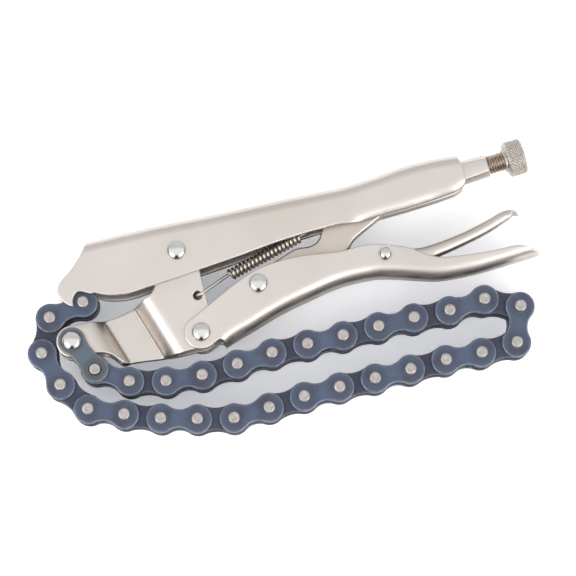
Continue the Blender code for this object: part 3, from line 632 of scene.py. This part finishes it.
def lowerRoll(u):
    curl = easeAt(u, fixedHandle.rollStart, fixedHandle.rollFull) / fixedHandle.rollRadius
    return heightAt(fixedLower, u) + fixedHandle.rollHeight, curl


mesh = channelPiece(fixedHandle, fixedTop, fixedHalfWidth, 1, fixedOutline,
                    [(0, 0, rivets.bore)], roll=lowerRoll)
addPiece("fixedHandle", mesh, [satinNickel], "fixed_handle", ["fixed_handle"])
print("fixed handle folded")

# lower handle: a folded channel, open above

lowerHandle = SimpleNamespace(
    sheet=2.2, frontHalfWidth=12.0, rearHalfWidth=8.7, taperStart=37.3,
    taperEnd=101.9, bend=5.6, edge=0.45, eyeRadius=7.4,
    eyeTurns=(122, 305),
    web=[(-8.9, -50.5), (7.5, -47.2), (10.5, -45.0), (21.6, -42.0), (36.6, -38.1), (51.3, -35.7),
         (61.9, -34.3), (69.6, -34.2), (80.1, -35.2), (88.0, -37.5), (97.3, -40.9),
         (106.6, -43.9), (121.5, -45.5), (134.2, -45.7), (152.0, -45.6)],
    top=[(-3.2, -31.0), (6.8, -26.8), (18.3, -21.9), (28.6, -18.4), (38.2, -17.1), (51.9, -17.6),
         (68.1, -20.3), (78.1, -20.5), (84.1, -21.4), (91.0, -24.0), (98.2, -27.4),
         (103.3, -31.5), (109.3, -34.8), (117.6, -36.7), (129.8, -38.4), (142.1, -39.2),
         (145.5, -40.0), (147.6, -41.4)],
    tongue=[(152.3, 1.0), (152.1, 2.6), (151.5, 4.6), (150.4, 6.6), (149.0, 8.6)],
    notch=[(5.0, -43.4), (6.3, -42.7), (7.7, -42.9), (8.6, -44.0), (9.2, -45.4)])
handleRivet = fromPivot("lower_handle_swing")
toggleRivet = fromPivot("toggle_swing")
leverRivet = fromPivot("release_lever_press")
lowerWeb = smoothLine(lowerHandle.web, 1.5)
eye = arcLine(handleRivet, lowerHandle.eyeRadius, *lowerHandle.eyeTurns, 22)
lowerOutline = (smoothLine(lowerHandle.top, 1.6)[::-1] + eye + smoothLine(lowerHandle.notch, 0.8))
mesh = channelPiece(lowerHandle, lowerWeb, partial(taperedHalf, lowerHandle), -1, lowerOutline,
                    [(*handleRivet.xy, rivets.bore), (*toggleRivet.xy, rivets.bore),
                     (*leverRivet.xy, rivets.leverBore)], tongue=lowerHandle.tongue)
addPiece("lowerHandle", mesh, [satinNickel], "lower_handle", ["lower_handle"])
print("lower handle folded")

# lower jaw: two pressed walls with soft creases

lowerJaw = SimpleNamespace(
    sheet=2.0, pivotHalfWidth=9.5, pinchHalfWidth=2.2, noseHalfWidth=9.05,
    creaseTurn=15.4, creaseSoftness=0.25, edge=0.4,
    noseShoulder=-52.5, noseFoot=-42.8, pivotFoot=-28.8, pivotShoulder=-17.8,
    shoulderBend=2.8, footStep=0.45, footShade=(0.05, 0.75),
    outline=[(-45.0, -18.8), (-38.9, -19.8), (-30.4, -19.3), (-24.0, -17.9), (-20.2, -16.2),
             (-16.1, -14.8), (-13.6, -12.3), (-10.0, -5.1), (-8.2, 0.9), (-4.5, 6.5), (1.0, 8.5),
             (6.4, 6.1), (8.6, 0.9), (8.0, -6.1), (7.1, -11.8), (6.7, -26.6), (7.1, -35.1),
             (6.6, -39.6), (3.4, -43.1), (-1.0, -44.0), (-4.6, -43.4), (-11.6, -43.3),
             (-18.5, -43.0), (-27.0, -41.6), (-34.9, -40.4), (-36.3, -38.9), (-39.3, -35.4),
             (-42.6, -33.6), (-46.2, -32.8)],
    noseRadius=7.0, noseTurns=(-62, -298), springHole=(3.3, -21.2, 2.0),
    rows=(-46, 10, 1.0), columnStep=0.9)
anchorRivet = fromPivot("anchor_link_hinge")
creaseAlong = Vector((cos(radians(lowerJaw.creaseTurn)), sin(radians(lowerJaw.creaseTurn))))


def wallHeight(across):
    # half the jaw's width across the creases: steep at each foot, easing out at the shoulder
    total = 0.0
    samples = 7
    for index in range(samples):   # a short moving average rounds each foot
        at = across + lowerJaw.creaseSoftness * (2 * index / (samples - 1) - 1)
        end = "nose" if at < (lowerJaw.noseFoot + lowerJaw.pivotFoot) / 2 else "pivot"
        top, foot, shoulder = (getattr(lowerJaw, end + key)
                               for key in ("HalfWidth", "Foot", "Shoulder"))
        share = min(1.0, max(0.0, (at - foot) / (shoulder - foot)))
        total += lowerJaw.pinchHalfWidth + (
            top - lowerJaw.pinchHalfWidth) * (1 - (1 - share) ** lowerJaw.shoulderBend)
    return total / samples


def jawPlace(side):
    def place(u, v, depth):
        across = Vector((u, v)).dot(creaseAlong)
        step = 0.05
        slope = (wallHeight(across + step) - wallHeight(across - step)) / (2 * step)
        length = sqrt(1 + slope * slope)
        x = u + creaseAlong.x * slope / length * depth
        y = v + creaseAlong.y * slope / length * depth
        return (x, y, side * max(wallHeight(across) - depth / length, 0.15))
    return place


def footPoints(foot):
    # rows of points along the foot of a crease, so that its line stays crisp
    over = Vector((-creaseAlong.y, creaseAlong.x))
    return [tuple(creaseAlong * (foot + aside) + over * along)
            for along in spread(-60, 20, lowerJaw.footStep)
            for aside in (-lowerJaw.footStep, 0, lowerJaw.footStep)]


def darkenFeet(mesh):
    # the feet of the creases hold dirt and painted shade of the concave corner: they count as
    # inside the fold
    values = mesh.attributes["inside"].data
    for vert, flatAt in zip(values, mesh.attributes["flat"].data):
        across = Vector(flatAt.vector[:2]).dot(creaseAlong)
        away = min(abs(across - foot) for foot in (lowerJaw.noseFoot, lowerJaw.pivotFoot))
        vert.value = max(vert.value, 1 - easeAt(away, *lowerJaw.footShade))


nose = arcLine(anchorRivet, lowerJaw.noseRadius, *lowerJaw.noseTurns, 20)
jawOutline = smoothLine(lowerJaw.outline, 1.2) + nose
low = min(x for x, _ in jawOutline)
high = max(x for x, _ in jawOutline)
jawHoles = [(x, y, rivets.bore, 0.25) for x, y in ((0, 0), handleRivet.xy, anchorRivet.xy)]
springHole = (*lowerJaw.springHole, 0.3)
walls = []
for side in (1, -1):
    holes = jawHoles + [springHole] if side > 0 else jawHoles
    wall = sheetMesh(jawOutline, holes, jawPlace(side), lowerJaw.sheet, lowerJaw.edge,
                     spread(*lowerJaw.rows), spread(low, high, lowerJaw.columnStep),
                     footPoints(lowerJaw.noseFoot) + footPoints(lowerJaw.pivotFoot))
    darkenFeet(wall)
    walls.append((wall, still, 0))
addPiece("lowerJaw", joinedMesh(walls), [satinNickel], "lower_jaw", ["lower_jaw"])
print("lower jaw pressed")

# toggle link

toggleLink = SimpleNamespace(
    halfWidth=4.25, edge=0.9, eyeRadius=6.6, eyeTurns=(245, 118),
    rows=(-34, 4, 3), columns=(22, 98, 3),
    outline=[(38.7, -16.1), (46.3, -13.9), (50.6, -12.9), (55.7, -13.6), (59.6, -12.9),
             (61.9, -11.0), (63.6, -7.7), (67.5, -2.6), (74.0, 0.7), (84.0, 1.7), (93.5, 2.1),
             (95.5, 0.0), (95.5, -4.9), (93.0, -8.4), (91.1, -9.5), (86.7, -11.5), (75.8, -16.4),
             (72.8, -19.4), (67.5, -22.7), (58.0, -25.5), (46.0, -27.7), (38.5, -29.5)])
eye = arcLine(toggleRivet, toggleLink.eyeRadius, *toggleLink.eyeTurns, 16)
mesh = sheetMesh(smoothLine(toggleLink.outline, 1.5) + eye,
                 [(*toggleRivet.xy, rivets.bore, 0.3)], flatPlace(toggleLink.halfWidth),
                 2 * toggleLink.halfWidth, toggleLink.edge,
                 spread(*toggleLink.rows), spread(*toggleLink.columns))
addPiece("toggleLink", mesh, [toggleNickel], "toggle_link", ["toggle_link"])

# release lever: a thin fold, open below

releaseLever = SimpleNamespace(
    sheet=1.8, halfWidth=6.0, bend=2.6, edge=0.35,
    top=[(73.9, -27.3), (76.4, -25.6), (79.0, -24.7), (84.0, -22.7), (88.0, -22.5), (92.5, -24.1),
         (98.5, -27.0), (104.5, -28.1), (120.8, -27.1), (134.3, -24.6), (141.1, -22.8),
         (145.0, -22.9), (147.4, -23.8), (149.0, -25.2)],
    tongue=[(148.4, 1.0), (148.2, 2.4), (147.5, 3.8), (146.4, 5.2)],
    rollHeight=2.6, rollRadius=3.4, rollStart=100.0, rollFull=112.0,
    lower=[(144.8, -26.6), (132.7, -30.0), (119.2, -32.4), (110.1, -33.6), (101.0, -34.3),
           (92.0, -32.7), (84.0, -31.1), (77.0, -30.3), (73.8, -28.6)])
leverTop = smoothLine(releaseLever.top, 1.2)
leverLower = smoothLine(releaseLever.lower, 1.5)
leverOutline = leverLower + releaseLever.top[:1]


def leverRoll(u):
    curl = easeAt(u, releaseLever.rollStart, releaseLever.rollFull)
    curl /= releaseLever.rollRadius
    return heightAt(leverLower[::-1], u) + releaseLever.rollHeight, curl


mesh = channelPiece(releaseLever, leverTop, lambda x: releaseLever.halfWidth, 1,
                    leverOutline, [(*leverRivet.xy, rivets.leverBore)], 2.0,
                    roll=leverRoll, tongue=releaseLever.tongue)
addPiece("releaseLever", mesh, [satinNickel], "release_lever", ["release_lever"])
print("toggle and release lever made")

# rivets with domed heads

def domedRivet(top, head, shaft):
    seat = top - rivets.height
    rise = rivets.height - rivets.brim
    last = radians(rivets.domeTurn)
    half = []
    for index in range(rivets.domeSteps):
        turn = last * index / (rivets.domeSteps - 1)
        share = (cos(turn) - cos(last)) / (1 - cos(last))
        half.append((head * sin(turn) / sin(last), seat + rivets.brim + rise * share))
    half += [(head, seat + rivets.brim * 0.5), (head - 0.15, seat + 0.02), (shaft, seat)]
    return turnedMesh(half, 48, mirrored=True)


for name, node, joint, body in (
        ("mainPivotRivet", "main_pivot_rivet", "jaw_open", "fixed_handle"),
        ("handleRivet", "handle_rivet", "lower_handle_swing", "lower_handle"),
        ("toggleRivet", "toggle_rivet", "toggle_swing", "lower_handle"),
        ("leverRivet", "lever_rivet", "release_lever_press", "lower_handle"),
        ("anchorRivet", "anchor_rivet", "anchor_link_hinge", "lower_jaw")):
    sizes = (rivets.head, rivets.shaft)
    if node == "lever_rivet":
        sizes = (rivets.leverHead, rivets.leverShaft)
    addPiece(name, domedRivet(heightOf(node), *sizes), [brightRivet], body,
             [node], Matrix.Translation(fromPivot(joint)))
print("rivets set")

# threaded neck, adjusting screw and knurled knob

screw = SimpleNamespace(
    axisY=-1.1, threadRadius=4.25, threadPitch=1.2, threadDepth=0.6,
    tip=103.0, neckReach=5.1, neckRearReach=4.75, collarRadius=5.9,
    neckFront=108.0, collarLength=11.0, neckMouth=129.0, neckRear=141.8,
    neckFlat=3.8, neckRearFlat=2.7, neckSide=2.3, neckEdge=0.35, neckInside=6.0,
    knobRadius=7.88, knobCollar=5.4, collarFront=149.15, knobFront=150.3,
    knobRear=158.5, knurls=28, knurlDepth=0.6, knurlLean=1.6, knobRound=1.5)
alongTool = Matrix.Translation((0, screw.axisY, 0)) @ Matrix.Rotation(pi / 2, 4, "Y")
bore = screw.threadRadius + 0.3


def neckSection(height):
    # eight flats with soft corners: (radial, height) points of the neck at one place
    share = easeAt(height, screw.neckMouth, screw.neckRear)
    reach, half = (front + (rear - front) * share for front, rear in (
        (screw.neckReach, screw.neckRearReach), (screw.neckFlat, screw.neckRearFlat)))
    side = screw.neckSide
    corners = [(reach, half), (side, reach), (-side, reach), (-reach, half),
               (-reach, -half), (-side, -reach), (side, -reach), (reach, -half)]
    section = []
    for index, corner in enumerate(corners):
        here = Vector(corner)
        for other in (corners[index - 1], corners[(index + 1) % 8]):
            section.append(here + (Vector(other) - here).normalized() * screw.neckEdge)
        section.insert(-1, here * (1 - 0.25 * screw.neckEdge / here.length))
    return section


sections = []
mouth = screw.neckMouth - screw.neckInside
for height, shrink in ((mouth, 1.0), (screw.neckMouth, 1.0),
                       ((screw.neckMouth + screw.neckRear) / 2, 1.0),
                       (screw.neckRear - screw.neckEdge, 1.0), (screw.neckRear, 0.94)):
    sections.append([Vector((p.x * shrink, p.y * shrink, height)) for p in neckSection(height)])
for height, radius in ((screw.neckRear, bore + 0.25), (screw.neckRear - 0.25, bore),
                       (mouth, bore)):
    sections.append([Vector((p.x, p.y, 0)).normalized() * radius + upright * height
                     for p in neckSection(height)])
neck = ringMesh(sections, "loft", closed=True)
collarEnd = screw.neckFront + screw.collarLength
collar = turnedMesh([
    (bore, screw.neckFront), (screw.collarRadius - 0.3, screw.neckFront),
    (screw.collarRadius, screw.neckFront + 0.3),
    (screw.collarRadius, collarEnd - 0.6), (screw.neckReach, collarEnd),
    (screw.neckReach - 0.2, mouth + 0.3), (bore, mouth + 0.3)], 48, closed=True)
mesh = joinedMesh([(neck, still, 0), (collar, still, 0)])
addPiece("threadedNeck", mesh, [satinNickel], "fixed_handle",
         ["threaded_sleeve"], alongTool, sharp=28)


def ruffledRod(profile, sides, stepLength, shape):
    # rod along Z whose radius is shape(radius, height, turn), closed at both ends
    heights = []
    for (r0, z0), (r1, z1) in zip(profile, profile[1:]):
        count = max(1, round(abs(z1 - z0) / stepLength))
        heights += [(r0 + (r1 - r0) * i / count, z0 + (z1 - z0) * i / count) for i in range(count)]
    rings = []
    for radius, height in heights + [profile[-1]]:
        ring = []
        for index in range(sides):
            turn = tau * index / sides
            reach = shape(radius, height, turn)
            ring.append((reach * cos(turn), reach * sin(turn), height))
        rings.append(ring)
    return ringMesh(rings, "rod", capped=True)


def triangleWave(phase):
    share = phase % 1.0
    return 2 * min(share, 1 - share)


def threadShape(radius, height, turn):
    crest = triangleWave(height / screw.threadPitch - turn / tau)
    return radius - screw.threadDepth * (1 - min(1.0, crest * 1.25))


def knurlShape(radius, height, turn):
    middle = (height - screw.knobFront) / (screw.knobRear - screw.knobFront)
    if radius < screw.knobRadius - screw.knobRound or middle < 0:
        return radius
    around = turn / tau * screw.knurls
    lean = (height - screw.knobFront) / screw.knurlLean
    bump = min(triangleWave(around + lean) * 1.7, triangleWave(around - lean))
    fade = easeAt(middle, 0.02, 0.2) * (1 - easeAt(middle, 0.84, 0.97))
    return radius - fade * screw.knurlDepth * (1 - min(1.0, 2.0 * bump))


rodEnd = screw.collarFront + 0.8
thread = ruffledRod([(screw.threadRadius - 0.7, screw.tip),
                     (screw.threadRadius, screw.tip + 0.8),
                     (screw.threadRadius, rodEnd)], 32, 0.2, threadShape)
rounding = [radians(turn) for turn in range(0, 91, 15)]
roundFront = [(screw.knobRadius - screw.knobRound * (1 - sin(turn)),
               screw.knobFront + screw.knobRound * 0.8 * (1 - cos(turn)))
              for turn in rounding]
roundRear = [(screw.knobRadius - screw.knobRound * (1 - cos(turn)),
              screw.knobRear - screw.knobRound * 0.8 * (1 - sin(turn)))
             for turn in rounding]
knob = ruffledRod([
    (screw.knobCollar - 0.6, screw.collarFront),
    (screw.knobCollar, screw.collarFront + 0.4),
    (screw.knobCollar, screw.knobFront + 0.25)] + roundFront + roundRear + [
    (3.2, screw.knobRear), (2.4, screw.knobRear - 0.5)], 270, 0.17, knurlShape)
mesh = joinedMesh([(thread, still, 0), (knob, still, 1)])
addPiece("adjustingScrew", mesh, [screwSteel, knobNickel], "adjusting_screw",
         ["adjusting_screw"], alongTool, sharp=50)
print("screw and knob turned")

# return spring

returnSpring = SimpleNamespace(
    wire=1.4, coilRadius=2.0, pitch=1.9, turns=18, stepsPerTurn=20,
    start=(19.4, -15.9, 3.0),
    slope=12.7, bend=1.4, tab=59.0, tabThickness=2.0,
    tabHalfWidth=1.4, gap=0.3, rearStays=(55.0, -7.9, 0), frontGoes=(18.0, -16.2, 0))


def springLine():
    wire, bend, gap = returnSpring.wire / 2, returnSpring.bend, returnSpring.gap
    hole = Vector((*lowerJaw.springHole[:2], 0))
    over = lowerJaw.pivotHalfWidth + gap + wire
    line = [hole + upright * (over - bend - lowerJaw.sheet - 2 * wire)]
    for index in range(7):
        turn = pi / 2 * index / 6
        line.append(hole + Vector((bend * (1 - cos(turn)), 0, over - bend + bend * sin(turn))))
    slope = radians(returnSpring.slope)
    along = Vector((cos(slope), sin(slope), 0))
    across = Vector((-sin(slope), cos(slope), 0))
    start = Vector(returnSpring.start)
    first = start + across * 0.3 + upright * returnSpring.coilRadius
    ahead = line[-1]
    for share in (0.12, 0.3, 0.55, 0.8, 0.95):
        line.append(ahead + (first - ahead) * share)
    for index in range(returnSpring.turns * returnSpring.stepsPerTurn + 1):
        turn = index / returnSpring.stepsPerTurn
        angle = pi / 2 - tau * turn
        ring = across * cos(angle) + upright * sin(angle)
        line.append(start + along * returnSpring.pitch * turn + ring * returnSpring.coilRadius)
    half = returnSpring.tabThickness / 2
    past = returnSpring.tab + half + gap + wire
    beside = returnSpring.tabHalfWidth + gap + wire
    hookY = start.y + (returnSpring.tab - start.x) * tan(slope)
    line += [Vector((returnSpring.tab - half - wire, hookY, beside)),
             Vector((past - wire, hookY, beside)), Vector((past, hookY, beside - wire)),
             Vector((past, hookY, -beside))]
    return line


def wireMesh(line, radius, sides=10):
    rings, normal = [], None
    turns = [tau * k / sides for k in range(sides)]
    for index, point in enumerate(line):
        ahead = line[min(index + 1, len(line) - 1)] - line[max(index - 1, 0)]
        ahead.normalize()
        if normal is None:
            normal = ahead.orthogonal().normalized()
        normal = (normal - ahead * normal.dot(ahead)).normalized()
        other = ahead.cross(normal)
        rings.append([point + radius * (normal * cos(turn) + other * sin(turn)) for turn in turns])
    return ringMesh(rings, "wire", capped=True)


spring = addPiece("returnSpring", wireMesh(springLine(), returnSpring.wire / 2),
                  [springSteel], None, ["return_spring"])
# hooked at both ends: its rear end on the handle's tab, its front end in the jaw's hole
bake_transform(spring)
print("spring wound")

# roller chain

plateGrid = ((-3, 0, 3), (5, 8, 11))   # rows and columns of points inside a plate


def linkOutline(end, waist):
    # two round ends joined by hollows that touch both
    half = chain.pitch / 2
    hollow = (half ** 2 + waist ** 2 - end ** 2) / (2 * (end - waist))
    lean = degrees(atan2(waist + hollow, half))
    sweep = 90 - lean
    points = arcLine((0, 0), end, lean, 360 - lean, 26)
    points += arcLine((half, -waist - hollow), hollow, 90 + sweep, 90 - sweep, 9)[1:-1]
    points += arcLine((chain.pitch, 0), end, lean - 180, 180 - lean, 26)
    points += arcLine((half, waist + hollow), hollow, 270 + sweep, 270 - sweep, 9)[1:-1]
    return points


def plateMesh(end, waist, face, *radii):
    # a plate with its top at the face, and bores of these radii at its two pins
    holes = [(x, 0, radius, 0.2) for x, radius in zip((0, chain.pitch), radii)]
    return sheetMesh(linkOutline(end, waist), holes, flatPlace(face), chain.sheet,
                     chain.edge, *plateGrid)


def toBottom(face):
    # from the plate with its top at the face to the one below
    return Matrix.Translation((0, 0, chain.sheet - 2 * face))


def pinMesh():
    radius, half = chain.pinRadius, chain.pinHalf
    end = [(0, half - 0.12), (radius * 0.45, half - 0.08), (radius * 0.72, half),
           (radius * 0.86, half - 0.06), (radius * 0.96, half - 0.25), (radius, half - 0.55)]
    return turnedMesh(end, 24, mirrored=True)


def rollerMesh():
    bush, roller, half = chain.bushRadius, chain.rollerRadius, chain.rollerHalf
    end = chain.innerFace
    side = [(chain.bore, end - 0.2), (chain.bore + 0.2, end), (bush - 0.02, end),
            (bush - 0.02, half), (roller - 0.3, half), (roller, half - 0.3)]
    return turnedMesh(side, 28, closed=True, mirrored=True)


def linkMesh(end, waist, face, radius, atPins, number):
    plate = plateMesh(end, waist, face, radius, radius)
    farPin = Matrix.Translation((chain.pitch, 0, 0))
    return joinedMesh([(plate, still, 0), (plate, toBottom(face), 0), (atPins, still, number),
                       (atPins, farPin, number)])


outerLink = linkMesh(chain.outerEnd, chain.outerWaist, chain.outerFace,
                     chain.pinRadius + 0.02, pinMesh(), 1)
innerLink = linkMesh(chain.innerEnd, chain.innerWaist, chain.innerFace,
                     chain.bushRadius, rollerMesh(), 0)


def chainPlaces():
    # Walks from pin to pin: the middle of a link's box lies halfway between its two pins.
    places, start = {}, fromPivot("anchor_link_hinge")
    for node in ["anchor_plate_top"] + linkNames:
        if node + "_hinge" in joints:
            start = fromPivot(node + "_hinge")
        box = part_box(node)
        middle = ((Vector(box[0]) + Vector(box[1])) / 2 - pivot) / mm
        turn = atan2(middle.y - start.y, middle.x - start.x)
        places[node] = Matrix.Translation((start.x, start.y, 0)) @ Matrix.Rotation(turn, 4, "Z")
        start = 2 * middle - start
    return places


placeOf = chainPlaces()
bodyOf = {node: body for body, group in frame["record"]["behaviour"]["bodies"].items()
          for node in group}
for number, node in enumerate(linkNames, 1):
    isOuter = number % 2 == 1
    addPiece("chainLink%02d" % number, outerLink if isOuter else innerLink,
             [bluedSteel, pinSteel] if isOuter else [darkSteel], bodyOf[node],
             [node], placeOf[node])
anchorPlate = plateMesh(chain.anchorEnd, chain.anchorWaist, chain.anchorFace,
                        rivets.bore, chain.bore)
for name, node, shift in (
        ("anchorPlateTop", "anchor_plate_top", still),
        ("anchorPlateBottom", "anchor_plate_bottom", toBottom(chain.anchorFace))):
    addPiece(name, anchorPlate, [anchorSteel], "anchor_link", [node],
             placeOf["anchor_plate_top"] @ shift)
print("chain linked")

# floor, light and camera, in metres and degrees

studio = SimpleNamespace(
    floorColour=(0.93, 0.92, 0.905), floorLift=(0.32, 0.33, 0.36),
    zenithLight=0.60, sideLight=1.75, lampPower=2.6, lampSize=0.55,
    lampReach=(0.62, 0.42), lampHeight=0.75, upGrey=0.70, wallDark=0.12,
    wallUp=0.60, gapDark=0.06, gapHalfTurn=17)
cameraAt = SimpleNamespace(
    aim=(0.00065, 0.00765, 0.0143), pictureRight=(0.9588, -0.2840, 0),
    pictureUp=(0.2840, 0.9588, 0), tilt=7.14, distance=1.304, lens=186, sensor=36)
aim, right, upward = map(Vector, (cameraAt.aim, cameraAt.pictureRight, cameraAt.pictureUp))
tilt = radians(cameraAt.tilt)
toCamera = cos(tilt) * upright - sin(tilt) * upward
lensUp = cos(tilt) * upward + sin(tilt) * upright
camera = newObject("camera", bpy.data.cameras.new("camera"))
camera.data.lens = cameraAt.lens
camera.data.sensor_width = cameraAt.sensor
camera.data.clip_start = 0.05
camera.data.clip_end = 20
turned = Matrix((right, lensUp, toCamera)).transposed().to_4x4()
camera.matrix_world = Matrix.Translation(aim + cameraAt.distance * toCamera) @ turned
bpy.context.scene.camera = camera

body = bmesh.new()
bmesh.ops.create_grid(body, x_segments=8, y_segments=8, size=3.0)
floor = newObject("floor", finishedMesh(body, "floor", outward=False))
floor.location = (0, 0, cadBox[0][2] - 0.0004)
paper = bpy.data.materials.new("paper")
paper.use_nodes = True
tree = paper.node_tree
feedNode(tree, tree.nodes["Principled BSDF"], {
    "Base Color": studio.floorColour, "Roughness": 0.9, "Specular IOR Level": 0.1,
    "Emission Color": studio.floorLift,
    "Emission Strength": nodeStep(tree, "LightPath", "Is Camera Ray")})
floor.data.materials.append(paper)

world = bpy.data.worlds.new("studio")
bpy.context.scene.world = world
world.use_nodes = True
tree = world.node_tree
rays = tree.nodes.new("ShaderNodeLightPath").outputs
direction = nodeStep(tree, "TexCoord", "Generated")
skyMix = partial(mixStep, tree, kind="FLOAT")


def skyRamp(axis, low, high):
    # 0 to 1 as the direction's share along an axis goes from low to high
    along = mathStep(tree, "DOT_PRODUCT", direction, axis, "VectorMath")
    return rangeStep(tree, along, low, high, kind="SMOOTHSTEP")


# Mirror rays see white above, grey towards the picture's top, dark walls, and a dark gap at its
# foot between the two lamps.  Other rays get more light from the sides than from above.
overhead = skyMix(skyRamp(upward, 0.16, 0.36), 1.0, studio.upGrey)
wall = skyMix(skyRamp(upward, 0.1, 0.6), studio.wallDark, studio.wallUp)
mirrored = skyMix(skyRamp(upright, 0.25, 0.55), wall, overhead)
gapTurn = radians(studio.gapHalfTurn)
gapSides = [skyRamp(-side * cos(gapTurn) * right - sin(gapTurn) * upward, -0.10, 0.08)
            for side in (1, -1)]
gap = mathStep(tree, "MULTIPLY", *gapSides)
gap = mathStep(tree, "MULTIPLY", gap, skyRamp(-upward, 0.30, 0.55))
mirrored = skyMix(gap, mirrored, studio.gapDark)
spreadLight = skyMix(skyRamp(upright, 0.55, 0.85), studio.sideLight, studio.zenithLight)
level = skyMix(rays["Is Glossy Ray"], spreadLight, mirrored)
direct = mathStep(tree, "MAXIMUM", rays["Is Camera Ray"], rays["Is Transmission Ray"])
seen = mixStep(tree, direct, level, (1.0, 1.0, 1.0))
feedNode(tree, tree.nodes["Background"], {"Color": seen})

for name, side in (("leftLamp", -1), ("rightLamp", 1)):
    lamp = newObject(name, bpy.data.lights.new(name, "AREA"))
    lamp.data.energy = studio.lampPower
    lamp.data.size = studio.lampSize
    lamp.location = (side * studio.lampReach[0] * right - studio.lampReach[1] * upward
                     + studio.lampHeight * upright)
    lamp.rotation_euler = (aim - lamp.location).to_track_quat("-Z", "Y").to_euler()
bpy.context.scene.view_settings.view_transform = "Standard"
print("studio set")
